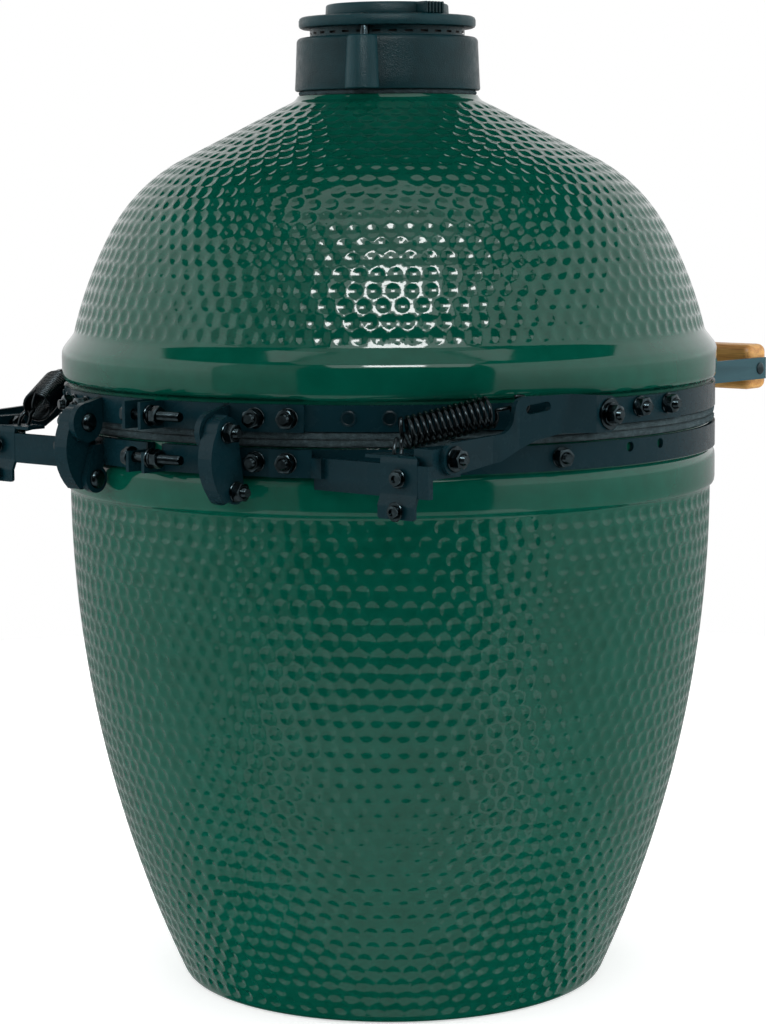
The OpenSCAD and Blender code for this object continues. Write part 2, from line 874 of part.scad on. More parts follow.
module vent_collar() {
  color(iron)
    difference() {
      union() {
        rotate_extrude($fn = 120)
          polygon(concat(
            [[throat_r, collar_z], [collar_r, collar_z],
             [collar_r, collar_z + 2], [collar_r - 1.6, collar_z + collar_h - 5]],
            arc([collar_r - 5.6, collar_z + collar_h - 4], 4, 0, 90, 3),
            [[throat_r + 2, collar_z + collar_h],
             [throat_r + 2, collar_z + collar_h - 5],
             [collar_r - 7, collar_z + collar_h - 5],
             [collar_r - 6, collar_z + 7], [throat_r, collar_z + 7]]));
        translate([boss_at.x, boss_at.y, collar_z + 0.4])
          cylinder(r1 = 15, r2 = 12.8, h = collar_h - 5.8);
      }
      translate([pivot_at.x, pivot_at.y, collar_z + 10]) cylinder(r = 3.95, h = 60);
    }
}

module vent_mesh() {
  z = collar_z + 7.1;
  color(steel)
    difference() {
      translate([0, 0, z]) cylinder(r = throat_r + 2, h = 1.2);
      for (row = [1:4])
        for (i = [0:6 * row - 1])
          rotate([0, 0, i * 60 / row]) translate([row * 11, 0, z - 1])
            cylinder(r = 3.6, h = 4, $fn = 16);
    }
}

module vent_pivot_pin() {
  color(steel)
    translate([pivot_at.x, pivot_at.y, collar_z + 10.1])
      cylinder(r = 3.9, h = lid_z + lid_h + 2 - collar_z - 10.1);
}

// The petal-shaped openings of the lid and the dial, n of them.
module petal_holes(z, h, turn) {
  for (i = [0:petals - 1])
    rotate([0, 0, turn + i * 360 / petals])
      translate([30, 0, z]) cylinder(r = 12, h = h);
}

lid_turn = 20;
module vent_lid() {
  lip = 4;
  color(iron)
    difference() {
      rotate_extrude($fn = 120)
        polygon(concat(
          [[0, lid_plate_z], [spigot_r - 6, lid_plate_z], [spigot_r - 6, lid_z],
           [spigot_r, lid_z], [spigot_r, lid_plate_z]],
          arc([lid_r - lip, lid_plate_z + lip], lip, -90, 90, 6),
          [[0, lid_z + lid_h]]));
      petal_holes(lid_z, 40, lid_turn);
      translate([pivot_at.x, pivot_at.y, lid_z - 1]) cylinder(r = 3.95, h = 40);
      translate([0, 0, lid_z]) cylinder(r = 3.05, h = 40);
    }
}

module vent_dial() {
  grip_angle = 100;
  color(iron)
    difference() {
      union() {
        translate([0, 0, dial_z]) cylinder(r = dial_r, h = dial_h, $fn = 120);
        rotate([0, 0, -grip_angle]) translate([-9, dial_r - 4, dial_z])
          cube([18, 15, dial_h]);
      }
      petal_holes(dial_z - 1, 20, lid_turn + 180 / petals);
      translate([0, 0, dial_z - 1]) cylinder(r = 3.05, h = 40);
      difference() {
        translate([0, 0, dial_z + 5]) cylinder(r = dial_r - 4, h = 20);
        translate([0, 0, dial_z]) cylinder(r = 10, h = 20);
      }
    }
}

module vent_dial_rivet() {
  color(steel)
    union() {
      translate([0, 0, lid_plate_z - 3]) cylinder(r = 3, h = dial_z + dial_h - lid_plate_z + 3);
      translate([0, 0, lid_plate_z - 4]) cylinder(r = 6, h = 3.6);
      translate([0, 0, dial_z + dial_h + 0.2]) cylinder(r1 = 6, r2 = 4, h = 2);
      translate([0, 0, dial_z + dial_h - 1]) cylinder(r = 3, h = 2);
    }
}

// ---------------------------------------------------------------- draft door

frame_w = boss_w - 4;
frame_h = boss_h - 4;
plate_h = draft_h + 10;
plate_w = draft_w + 12;
frame_y = -3.2;
frame_t = 2.5;
screen_y = frame_y - frame_t - 0.4;
door_y = screen_y - 1.6;
lip_y = door_y - 2.1;
screw_x = frame_w / 2 - 8;
screw_z = frame_h / 2 - 5;

// A plate in the draft frame: outwards from y, thickness t.
module draft_plate(w, h, y, t) {
  translate([-w / 2, y - t, -h / 2]) cube([w, t, h]);
}

module draft_frame() {
  rail = 5;
  color(black)
    at_draft()
      difference() {
        union() {
          draft_plate(frame_w, frame_h, frame_y, frame_t);
          for (s = [-1, 1])
            translate([-frame_w / 2, lip_y - 1.8,
                       s > 0 ? frame_h / 2 - rail : -frame_h / 2])
              cube([frame_w, frame_y - lip_y - frame_t + 1.9, rail]);
          for (s = [-1, 1])
            translate([-frame_w / 2, lip_y - 1.8, s > 0 ? plate_h / 2 - 4 : -frame_h / 2])
              cube([frame_w, 1.8, (frame_h - plate_h) / 2 + 4]);
        }
        draft_plate(draft_w, draft_h, 0, 9);
        for (sx = [-1, 1], sz = [-1, 1])
          translate([sx * screw_x, 10, sz * screw_z])
            rotate([90, 0, 0]) cylinder(r = 2.2, h = 40);
      }
}

module draft_frame_screws() {
  color(steel)
    at_draft()
      for (sx = [-1, 1], sz = [-1, 1])
        translate([sx * screw_x, frame_y, sz * screw_z]) rotate([90, 0, 0]) {
          cylinder(r = 2.15, h = frame_y - lip_y + 3);
          translate([0, 0, frame_y - lip_y + 1.85]) cylinder(r = 3.8, h = 1.8);
        }
}

module draft_screen() {
  color(steel)
    at_draft()
      difference() {
        union() {
          draft_plate(plate_w, plate_h, screen_y, 1);
          translate([-plate_w / 2 - 6, screen_y - 1, -14]) cube([7, 1, 28]);
          translate([-plate_w / 2 - 6, screen_y - 16, -14]) cube([1, 16, 28]);
        }
        for (ix = [-6:6], iz = [-2:2])
          translate([ix * 10, screen_y + 1, iz * 11]) rotate([90, 0, 0])
            cylinder(r = 3.2, h = 4, $fn = 16);
      }
}

module draft_door() {
  color(steel)
    at_draft()
      union() {
        draft_plate(plate_w, plate_h, door_y, 1.6);
        translate([plate_w / 2 - 8, door_y - 16, -16]) cube([1.6, 15, 32]);
      }
}

// ---------------------------------------------------------------- all nodes

base_shell();
fire_box();
charcoal_grate();
fire_ring();
cooking_grid();
lower_gasket();
lower_band();
on_side("left") lower_bracket();  // lower_bracket_left
on_side("right") lower_bracket();  // lower_bracket_right
clamp_bolt(low_clamp_z);  // lower_clamp_bolt
on_side("left") spring_bar();  // spring_bar_left
on_side("right") spring_bar();  // spring_bar_right
on_side("left") anchor_plate();  // anchor_plate_left
on_side("right") anchor_plate();  // anchor_plate_right
anchor_screws();
lower_band_bolts();
link_pivot_bolts_low();
arm_pivot_blocks();
arm_pivot_bolts_rear();
draft_frame();
draft_door();
draft_screen();
draft_frame_screws();
on_side("left") rear_link();  // rear_link_left
on_side("right") rear_link();  // rear_link_right
link_pivot_bolts_top();
on_side("left") side_arm();  // side_arm_left
on_side("right") side_arm();  // side_arm_right
on_side("left") spring();  // spring_left
on_side("right") spring();  // spring_right
dome_shell();
upper_gasket();
upper_band();
on_side("left") upper_bracket();  // upper_bracket_left
on_side("right") upper_bracket();  // upper_bracket_right
clamp_bolt(top_clamp_z);  // upper_clamp_bolt
on_side("left") arm_plate();  // arm_plate_left
on_side("right") arm_plate();  // arm_plate_right
arm_plate_bolts();
arm_pivot_bolts_front();
band_rivets();
on_side("left") handle_bracket();  // handle_bracket_left
on_side("right") handle_bracket();  // handle_bracket_right
handle_grip();
handle_bolts();
thermometer_case();
thermometer_stem();
thermometer_nut();
thermometer_dial();
thermometer_needle();
thermometer_lens();
vent_gasket();
vent_collar();
vent_mesh();
vent_pivot_pin();
vent_lid();
vent_dial();
vent_dial_rivet();
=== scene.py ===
import math

import bmesh
import bpy
import numpy as np
from mathutils import Matrix, Vector
from mathutils.geometry import delaunay_2d_cdt
from mathutils.kdtree import KDTree


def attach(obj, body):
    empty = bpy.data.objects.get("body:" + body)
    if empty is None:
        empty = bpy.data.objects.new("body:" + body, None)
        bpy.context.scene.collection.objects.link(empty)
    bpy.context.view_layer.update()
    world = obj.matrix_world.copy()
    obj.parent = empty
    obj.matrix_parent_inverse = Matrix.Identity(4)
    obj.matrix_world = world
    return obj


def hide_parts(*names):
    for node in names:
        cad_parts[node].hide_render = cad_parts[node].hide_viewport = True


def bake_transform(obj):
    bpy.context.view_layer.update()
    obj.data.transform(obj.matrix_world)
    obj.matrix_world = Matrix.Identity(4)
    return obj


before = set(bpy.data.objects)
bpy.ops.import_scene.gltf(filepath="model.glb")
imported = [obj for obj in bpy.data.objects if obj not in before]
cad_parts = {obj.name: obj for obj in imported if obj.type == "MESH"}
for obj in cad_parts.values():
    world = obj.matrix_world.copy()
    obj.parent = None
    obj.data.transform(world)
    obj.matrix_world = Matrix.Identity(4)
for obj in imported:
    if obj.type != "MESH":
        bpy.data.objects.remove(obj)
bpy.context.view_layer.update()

# Every size below is in millimetres, in the CAD model's own frame.
MM = 0.001
TAU = 2 * math.pi
rng = np.random.default_rng(7)


# ------------------------------------------------------------------ camera

SHOT = 221.0  # the photograph's azimuth, in degrees
LENS = 99.34
STAND_OFF, EYE = 2.368, 0.6735  # how far off and how high the camera is, in metres
PAN, PITCH, ROLL = 0.152, 6.81, -0.4


def direction(azimuth, elevation):
    a, e = math.radians(azimuth), math.radians(elevation)
    return Vector((math.sin(a) * math.cos(e), -math.cos(a) * math.cos(e), math.sin(e)))


def linked(name, data):
    """A new object in the scene."""
    obj = bpy.data.objects.new(name, data)
    bpy.context.scene.collection.objects.link(obj)
    return obj


def make_camera():
    """Behind the grill, a little above its rim, with a long lens."""
    out = direction(SHOT, 0)
    data = bpy.data.cameras.new("camera")
    data.sensor_width = 36
    data.lens = LENS
    data.clip_end = 50
    cam = linked("camera", data)
    look = Matrix.Rotation(math.radians(PAN), 3, "Z") @ -out
    pitch, roll = math.radians(PITCH), math.radians(ROLL)
    look = look * math.cos(pitch) - Vector((0, 0, math.sin(pitch)))
    turn = look.to_track_quat("-Z", "Y").to_matrix() @ Matrix.Rotation(roll, 3, "Z")
    cam.matrix_world = Matrix.Translation(out * STAND_OFF + Vector((0, 0, EYE))) @ turn.to_4x4()
    bpy.context.scene.camera = cam


make_camera()


# ------------------------------------------------------------------ materials

class Nodes:
    """A small helper that builds one node material."""

    def __init__(self, name):
        self.material = bpy.data.materials.new(name)
        self.material.use_nodes = True
        self.tree = self.material.node_tree
        self.tree.nodes.clear()
        self.out = self.node("ShaderNodeOutputMaterial")
        self.shader = self.node("ShaderNodeBsdfPrincipled")
        self.link(self.shader.outputs[0], self.out.inputs["Surface"])
        self.place = self.node("ShaderNodeTexCoord").outputs["Object"]

    def node(self, kind, **values):
        made = self.tree.nodes.new(kind)
        for key, value in values.items():
            if key in made.inputs:
                made.inputs[key].default_value = value
            else:
                setattr(made, key, value)
        return made

    def link(self, a, b):
        self.tree.links.new(a, b)

    def set(self, **values):
        names = {"color": "Base Color", "rough": "Roughness", "metal": "Metallic",
                 "coat": "Coat Weight", "coat_rough": "Coat Roughness", "ior": "IOR",
                 "spec": "Specular IOR Level", "sheen": "Sheen Weight",
                 "through": "Transmission Weight", "alpha": "Alpha"}
        for key, value in values.items():
            socket = self.shader.inputs[names[key]]
            if hasattr(value, "is_linked"):
                self.link(value, socket)
            elif key == "color":
                socket.default_value = (*value, 1)
            else:
                socket.default_value = value
        return self

    def spot(self, stretch=None):
        if stretch is None:
            return self.place
        mapping = self.node("ShaderNodeMapping", Scale=stretch)
        self.link(self.place, mapping.inputs["Vector"])
        return mapping.outputs["Vector"]

    def noise(self, scale, detail=4.0, rough=0.55, stretch=None):
        tex = self.node("ShaderNodeTexNoise", Scale=scale, Detail=detail, Roughness=rough)
        self.link(self.spot(stretch), tex.inputs["Vector"])
        return tex.outputs["Fac"]

    def cells(self, scale):
        tex = self.node("ShaderNodeTexVoronoi", Scale=scale)
        self.link(self.place, tex.inputs["Vector"])
        return tex.outputs["Distance"]

    def ramp(self, fac, *stops):
        made = self.node("ShaderNodeValToRGB")
        bar = made.color_ramp
        while len(bar.elements) < len(stops):
            bar.elements.new(0.5)
        for element, (spot, color) in zip(bar.elements, stops):
            element.position = spot
            if not hasattr(color, "__len__"):
                color = (color, color, color)
            element.color = (*color, 1)
        self.link(fac, made.inputs["Fac"])
        return made.outputs["Color"]

    def span(self, fac, low, high, out_low, out_high):
        made = self.node("ShaderNodeMapRange", **{"From Min": low, "From Max": high,
                                                  "To Min": out_low, "To Max": out_high})
        self.link(fac, made.inputs["Value"])
        return made.outputs["Result"]

    def mix(self, fac, a, b):
        made = self.node("ShaderNodeMix", data_type="RGBA")
        for index, value in ((0, fac), (6, a), (7, b)):
            if hasattr(value, "is_linked"):
                self.link(value, made.inputs[index])
            else:
                made.inputs[index].default_value = value if index == 0 else (*value, 1)
        return made.outputs[2]

    def bump(self, height, depth, strength=1.0, after=None):
        made = self.node("ShaderNodeBump", Strength=strength, Distance=depth)
        self.link(height, made.inputs["Height"])
        if after is not None:
            self.link(after, made.inputs["Normal"])
        self.link(made.outputs[0], self.shader.inputs["Normal"])
        return made.outputs[0]

    def edges(self, low, high):
        """Near 1 on sharp outer edges."""
        point = self.node("ShaderNodeNewGeometry").outputs["Pointiness"]
        return self.span(point, low, high, 0.0, 1.0)


def glaze():
    m = Nodes("glaze")
    shade = m.ramp(m.noise(9, 3), (0.3, (0.0010, 0.060, 0.038)), (0.7, (0.0014, 0.074, 0.049)))
    fine = m.ramp(m.noise(60, 5), (0.35, (0.0009, 0.055, 0.034)), (0.7, (0.0016, 0.080, 0.053)))
    m.set(color=m.mix(0.5, shade, fine), rough=m.span(m.noise(30), 0.3, 0.7, 0.05, 0.10), spec=0.5)
    m.bump(m.noise(70, 2), 0.0001, 0.5)
    return m.material


def clay(name, dark, light, size=120):
    m = Nodes(name)
    m.set(color=m.ramp(m.noise(size, 6), (0.3, dark), (0.75, light)),
          rough=m.span(m.noise(40), 0.3, 0.7, 0.75, 0.92))
    grain = m.bump(m.noise(900, 3), 0.0004, 0.5)
    m.bump(m.cells(260), 0.0004, 0.25, grain)
    return m.material


def felt():
    m = Nodes("felt")
    spots = m.ramp(m.noise(210, 6, 0.7), (0.30, (0.006, 0.016, 0.020)),
                   (0.52, (0.026, 0.050, 0.058)), (0.72, (0.10, 0.15, 0.16)))
    threads = m.ramp(m.noise(900, 4, 0.7, (1, 1, 2.5)), (0.35, (0.010, 0.020, 0.024)),
                     (0.7, (0.085, 0.125, 0.135)))
    m.set(color=m.mix(0.5, spots, threads), rough=0.95, spec=0.1, sheen=0.05)
    soft = m.bump(m.noise(1500, 4, 0.7), 0.0012, 0.7)
    m.bump(m.noise(350, 5), 0.0015, 0.6, soft)
    return m.material


def times(color, factor):
    return tuple(factor * c for c in color)


def powder(name="powder_coat", base=(0.0008, 0.0056, 0.0076), rough=(0.20, 0.32)):
    """Black powder coat: slight orange peel, dust and paler edges."""
    m = Nodes(name)
    dust = m.ramp(m.noise(35, 5), (0.35, base), (0.8, times(base, 2.1)))
    m.set(color=m.mix(m.edges(0.53, 0.60), dust, times(base, 3.2)),
          rough=m.span(m.noise(90), 0.3, 0.7, *rough), spec=0.12)
    m.bump(m.noise(1400, 2), 0.00025, 0.35)
    return m.material


def cast(name, base, rough=(0.30, 0.46), grain=0.4):
    """A painted casting with a fine sandy skin."""
    m = Nodes(name)
    skin = m.ramp(m.noise(60, 5), (0.3, base), (0.8, times(base, 1.7)))
    m.set(color=m.mix(m.edges(0.52, 0.60), skin, times(base, 3.0)),
          rough=m.span(m.noise(140), 0.3, 0.7, *rough), spec=0.2)
    first = m.bump(m.cells(1100), 0.0004, grain)
    m.bump(m.noise(500, 4), 0.0004, grain, first)
    return m.material


def metal(name, color, rough, brushed=(1, 1, 1), tone=0.25):
    """Bare or blackened steel, with brushing along one axis if asked."""
    m = Nodes(name)
    wear = m.noise(260, 4, 0.6, brushed)
    m.set(color=m.ramp(wear, (0.3, times(color, 1 - tone)), (0.75, times(color, 1 + tone))),
          metal=1.0,
          rough=m.span(m.noise(180, 4, 0.6, brushed), 0.3, 0.7, rough * 0.75, rough * 1.3))
    m.bump(m.noise(1200, 3, 0.6, brushed), 0.00015, 0.35)
    return m.material


def timber():
    m = Nodes("oiled_wood")
    grain = m.node("ShaderNodeTexWave", wave_type="BANDS", bands_direction="Z", Scale=42.0,
                   Distortion=5.0, Detail=3.0, **{"Detail Scale": 1.4, "Detail Roughness": 0.6})
    m.link(m.spot((0.12, 1, 1)), grain.inputs["Vector"])
    bands = m.ramp(grain.outputs["Fac"], (0.15, (0.44, 0.19, 0.040)), (0.85, (0.70, 0.37, 0.095)))
    pores = m.ramp(m.noise(900, 3, 0.6, (0.04, 1, 1)), (0.38, (0.26, 0.10, 0.025)),
                   (0.55, (0.66, 0.34, 0.085)))
    m.set(color=m.mix(0.4, bands, pores), rough=m.span(m.noise(60), 0.3, 0.7, 0.38, 0.55),
          coat=0.15, coat_rough=0.25)
    m.bump(m.noise(800, 3, 0.6, (0.05, 1, 1)), 0.0003, 0.4)
    return m.material


def glass():
    m = Nodes("clear_glass")
    m.set(color=(1, 1, 1), rough=m.span(m.noise(40), 0.3, 0.7, 0.0, 0.03), through=1.0, ior=1.45,
          alpha=0.35)
    return m.material


GLAZE = glaze()
CLAY = clay("fired_clay", (0.36, 0.30, 0.24), (0.58, 0.50, 0.41))
FELT = felt()
POWDER = powder()
STRAP = powder("strap_coat", (0.010, 0.025, 0.030), (0.30, 0.45))
CAST = cast("vent_casting", (0.0016, 0.017, 0.021))
IRON = cast("grate_iron", (0.020, 0.020, 0.021), (0.55, 0.75), 0.7)
STEEL = metal("satin_steel", (0.50, 0.51, 0.52), 0.28, (0.03, 1, 1))
ROUND_STEEL = metal("turned_steel", (0.50, 0.51, 0.52), 0.25)
BOLT = metal("black_bolt", (0.045, 0.066, 0.074), 0.20, tone=0.45)
SPRING = metal("spring_wire", (0.030, 0.040, 0.044), 0.17, tone=0.35)
TIMBER = timber()
GLASS = glass()
RED = powder("needle_paint", (0.35, 0.01, 0.008))
DIAL = clay("dial_paint", (0.66, 0.66, 0.63), (0.74, 0.74, 0.71), 300)
# Black print for the dial's ticks, also used as painted shade behind the lid's windows.
INK_AND_PAINTED_SHADE = powder("dial_ink_and_painted_shade", (0.01, 0.01, 0.01), (0.5, 0.6))


# ------------------------------------------------------------------ mesh tools

class Shape:
    """Faces gathered in millimetres, with a material number on each."""

    def __init__(self):
        self.verts, self.faces, self.mats, self.count = [], [], [], 0

    def add(self, made, at=None, mat=0):
        verts, faces = made
        verts = np.asarray(verts, float)
        if at is not None:
            verts = verts @ at[:3, :3].T + at[:3, 3]
        start = self.count
        self.verts.append(verts)
        self.faces += [tuple(int(i) + start for i in f) for f in faces]
        self.mats += [mat] * len(faces)
        self.count += len(verts)
        return self

    def piece(self, name, body, slot, mats, replaces, smooth=40, weld=0.003):
        mesh = bpy.data.meshes.new(name)
        mesh.from_pydata((np.concatenate(self.verts) * MM).tolist(), [], self.faces)
        for material in mats:
            mesh.materials.append(material)
        mesh.polygons.foreach_set("material_index", self.mats)
        weld_and_orient(mesh, weld * MM)
        if smooth >= 180:
            mesh.shade_smooth()
        else:
            mesh.set_sharp_from_angle(angle=math.radians(smooth))
        obj = linked(name, mesh)
        if body:
            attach(obj, body)
        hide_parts(*replaces)
        return obj


def weld_and_orient(mesh, reach):
    """Joins points that lie together, and turns every face outwards."""
    work = bmesh.new()
    work.from_mesh(mesh)
    bmesh.ops.remove_doubles(work, verts=work.verts, dist=reach)
    bmesh.ops.dissolve_degenerate(work, edges=work.edges, dist=reach)
    bmesh.ops.recalc_face_normals(work, faces=work.faces)
    for face in work.faces:
        face.smooth = True
    work.to_mesh(mesh)
    work.free()


def axis_frame(origin, axis, hint=(0, 0, 1)):
    """A 4x4 matrix whose Z runs along axis, with X as close to hint as can be."""
    z = np.array(axis, float) / np.linalg.norm(axis)
    x = np.array(hint, float)
    if abs(x @ z) > 0.95:
        x = np.array((1.0, 0, 0))
    x -= (x @ z) * z
    x /= np.linalg.norm(x)
    made = np.eye(4)
    made[:3, 0], made[:3, 1], made[:3, 2], made[:3, 3] = x, np.cross(z, x), z, origin
    return made


def grid_faces(rows, cols, wrap):
    """Quads of a grid of points, row after row."""
    out = []
    for i in range(rows - 1):
        for j in range(cols if wrap else cols - 1):
            k = (j + 1) % cols
            out.append((i * cols + j, i * cols + k, (i + 1) * cols + k, (i + 1) * cols + j))
    return out


def lathe(profile, n=96, turn=0.0):
    """Spins (r, z) points round Z."""
    angles = turn + np.arange(n) * TAU / n
    p = np.array(profile, float)
    verts = np.stack([np.outer(p[:, 0], np.cos(angles)), np.outer(p[:, 0], np.sin(angles)),
                      np.repeat(p[:, 1:2], n, 1)], -1).reshape(-1, 3)
    return verts, grid_faces(len(p), n, True)


def ring(profile):
    return lathe(profile, RIM_POINTS)


def arc(cx, cy, r, a0, a1, n):
    return [(cx + r * math.cos(math.radians(a)), cy + r * math.sin(math.radians(a)))
            for a in np.linspace(a0, a1, n + 1)]


def tube(path, radius, sides):
    """A round wire along a path."""
    p = np.array(path, float)
    n = len(p)
    ahead = np.gradient(p, axis=0)
    ahead /= np.linalg.norm(ahead, axis=1)[:, None]
    side = np.cross(ahead[0], (0.3, 0.5, 0.81))
    side /= np.linalg.norm(side)
    rings = []
    angles = np.arange(sides) * TAU / sides
    for point, way in zip(p, ahead):
        side = side - (side @ way) * way
        side /= np.linalg.norm(side)
        rings.append(point + radius * (np.outer(np.cos(angles), side)
                                       + np.outer(np.sin(angles), np.cross(way, side))))
    faces = grid_faces(n, sides, True)
    faces.append(tuple(range(sides))[::-1])
    faces.append(tuple((n - 1) * sides + j for j in range(sides)))
    return np.concatenate(rings), faces


def hex_nut(across, height, hole, z0, n=48, turn=0.0):
    """A chamfered hexagon, with a hole if hole is above 0."""
    apothem, bore = across / 2, max(hole, 0.01)
    angles = turn + np.arange(n) * TAU / n
    beside = (np.arange(n) * TAU / n) % (TAU / 6) - TAU / 12
    edge = apothem / np.cos(beside)
    drop = (edge - apothem) * math.tan(math.radians(32)) + 0.15
    rings = [(bore, 0), (apothem * 0.96, 0), (edge, drop), (edge, height - drop),
             (apothem * 0.96, height), (bore + (0.7 if hole > 0 else 0), height)]
    if hole > 0:
        rings += [(hole, height - 0.7), rings[0]]
    verts = [np.stack([r * np.cos(angles), r * np.sin(angles), np.broadcast_to(z + z0, n)], -1)
             for r, z in rings]
    return np.concatenate(verts), grid_faces(len(rings), n, True)


def thread(radius, length, z0, pitch=1.25, n=24):
    """A screwed rod: its crest climbs one pitch a turn, and its end is chamfered."""
    steps = int(length / pitch * 6)
    z = np.linspace(0, length, steps + 1)
    angles = np.arange(n) * TAU / n
    phase = (z[:, None] / pitch - angles[None, :] / TAU) % 1.0
    cut = 0.6 * pitch * np.abs(2 * phase - 1)
    end = np.clip((z[:, None] - (length - 1.0)), 0, None) * 0.7
    r = np.minimum(radius - cut * 0.62, radius - end)
    verts = np.stack([r * np.cos(angles), r * np.sin(angles),
                      np.repeat(z[:, None] + z0, n, 1)], -1).reshape(-1, 3)
    faces = grid_faces(steps + 1, n, True)
    faces.append(tuple(steps * n + j for j in range(n)))
    return verts, faces


def washer(hole, outer, height, z0, n=40):
    soft, top = min(0.35, height * 0.3), z0 + height
    return lathe([(hole, z0), (outer - soft, z0), (outer, z0 + soft), (outer, top - soft),
                  (outer - soft, top), (hole + soft, top), (hole, top - soft), (hole, z0)], n)


def spring_washer(hole, outer, height, z0, n=40):
    """A split washer: one turn of square wire with a small gap."""
    rings = []
    for i in range(n + 1):
        a = math.radians(8) + (TAU - math.radians(16)) * i / n
        rise = z0 + 0.5 * i / n
        for r, z in ((hole, 0), (outer, 0.15), (outer, height - 0.15), (hole, height)):
            rings.append((r * math.cos(a), r * math.sin(a), rise + z))
    faces = grid_faces(n + 1, 4, True)
    faces += [(3, 2, 1, 0), tuple(n * 4 + j for j in range(4))]
    return np.array(rings), faces


def dome_head(radius, height, z0, n=40):
    """A round bolt head."""
    cap = [(radius * math.cos(a), z0 + 0.8 + (height - 0.8) * math.sin(a))
           for a in np.linspace(0, math.pi / 2 - 0.01, 9)]
    return lathe([(0.01, z0), (radius - 0.3, z0), (radius, z0 + 0.4)] + cap, n)


def band_frame(angle, z, r=271.5):
    """The frame of something on a band: Z points out, angle is from +Y towards +X."""
    a = math.radians(angle)
    return axis_frame((r * math.sin(a), r * math.cos(a), z), (math.sin(a), math.cos(a), 0))


def x_frame(y, z, way):
    """The frame of something along X from the middle, towards +X, or -X where way is -1."""
    return axis_frame((0, y, z), (way, 0, 0))


# ------------------------------------------------------------------ ceramic shells

BASE_CURVE, BASE_FAR, BASE_WIDE = 1000.0, -732.4, 418.0
SHOULDER, BEND, FLANK = 13.5, 28.7, math.radians(63.1)  # where the dome's arcs meet
DOME_A = (262.4 - 335 * math.cos(math.radians(SHOULDER)),
          546 - 335 * math.sin(math.radians(SHOULDER)))
DOME_B = (DOME_A[0] + 192 * math.cos(math.radians(BEND)),
          DOME_A[1] + 192 * math.sin(math.radians(BEND)))
BASE_THICK, DOME_THICK = 26, 26
RIM_POINTS = 288


def base_r(z, inset=0.0):
    """The radius of the base's outer curve at a height, or of the curve inset from it."""
    return BASE_FAR + math.sqrt((BASE_CURVE - inset) ** 2 - (z - BASE_WIDE) ** 2)


def dome_profile(inset, neck):
    """The dome's two arcs from the shoulder up, then its straight flank in to the neck's radius."""
    points = (arc(*DOME_A, 335 - inset, SHOULDER, BEND, 40)
              + arc(*DOME_B, 143 - inset, BEND, 63.1, 60)[1:])
    r, z = points[-1]
    run = (r - neck) / math.sin(FLANK)
    return points + [(r - run * t * math.sin(FLANK), z + run * t * math.cos(FLANK))
                     for t in np.linspace(0.02, 1, 40)]


class Wall:
    """A wall of revolution, mapped so that small circles stay circles."""

    def __init__(self, profile):
        p = np.array(profile, float)
        step = np.linalg.norm(np.diff(p, axis=0), axis=1)
        self.s = np.concatenate([[0], np.cumsum(step)])
        self.r, self.z = p[:, 0], p[:, 1]
        middle = (self.r[1:] + self.r[:-1]) / 2
        self.v = np.concatenate([[0], np.cumsum(step / middle)])
        d = np.gradient(p, self.s, axis=0)
        self.nr, self.nz = d[:, 1], -d[:, 0]

    def at_s(self, s):
        return np.interp(s, self.s, self.v)

    def radius(self, v):
        return np.interp(v, self.v, self.r)

    def points(self, angle, v, depth):
        r, z = np.interp(v, self.v, self.r), np.interp(v, self.v, self.z)
        nr, nz = np.interp(v, self.v, self.nr), np.interp(v, self.v, self.nz)
        size = np.hypot(nr, nz)
        r, z = r - depth * nr / size, z - depth * nz / size
        return np.stack([r * np.cos(angle), r * np.sin(angle), z], -1)


def tree_of(points):
    tree = KDTree(len(points))
    for i, point in enumerate(points):
        tree.insert(point, i)
    tree.balance()
    return tree


def spread(wall, pitch, first, last, keep_out):
    """Dimple centres (angle, v): staggered rows that push each other into even gaps."""
    angle, s = [], []
    rows = int(round((last - first) / (pitch * 0.866)))
    for k in range(rows + 1):
        here = first + (last - first) * k / rows
        count = int(round(TAU * wall.radius(wall.at_s(here)) / pitch))
        turn = rng.uniform(0, TAU)
        angle.append(turn + np.arange(count) * TAU / count)
        s.append(np.full(count, here))
    angle, s = np.concatenate(angle), np.concatenate(s)
    angle += rng.normal(0, 0.17 * pitch, len(angle)) / wall.radius(wall.at_s(s))
    s += rng.normal(0, 0.15 * pitch, len(s))
    for _ in range(18):
        v = wall.at_s(s)
        where = wall.points(angle, v, 0.0)
        tree = tree_of(where)
        r = wall.radius(v)
        move_a, move_s = np.zeros(len(s)), np.zeros(len(s))
        for i, point in enumerate(where):
            for _, j, gap in tree.find_range(point, pitch * 1.12):
                push = 0.32 * (pitch * 1.04 - gap)
                if j == i or gap < 1e-6 or push <= 0:
                    continue
                da = (angle[i] - angle[j] + math.pi) % TAU - math.pi
                ds = s[i] - s[j]
                size = math.hypot(da * r[i], ds) + 1e-9
                move_a[i] += push * da / size
                move_s[i] += push * ds / size
        angle += move_a
        s = np.clip(s + move_s, first, last)
    v = wall.at_s(s)
    where = wall.points(angle, v, 0.0)
    tree = tree_of(where)
    gap = np.array([tree.find_n(point, 2)[1][2] for point in where])
    keep = ~keep_out(where)
    return (angle[keep] % TAU), v[keep], gap[keep]


# Rings of points round a dimple's centre: share of its radius, points, share of its depth.
DIMPLE_RINGS = ((0.5, 6, 0.77), (0.92, 13, 0.16), (1.05, 13, 0.0))


def nowhere(points):
    return np.zeros(len(points), bool)


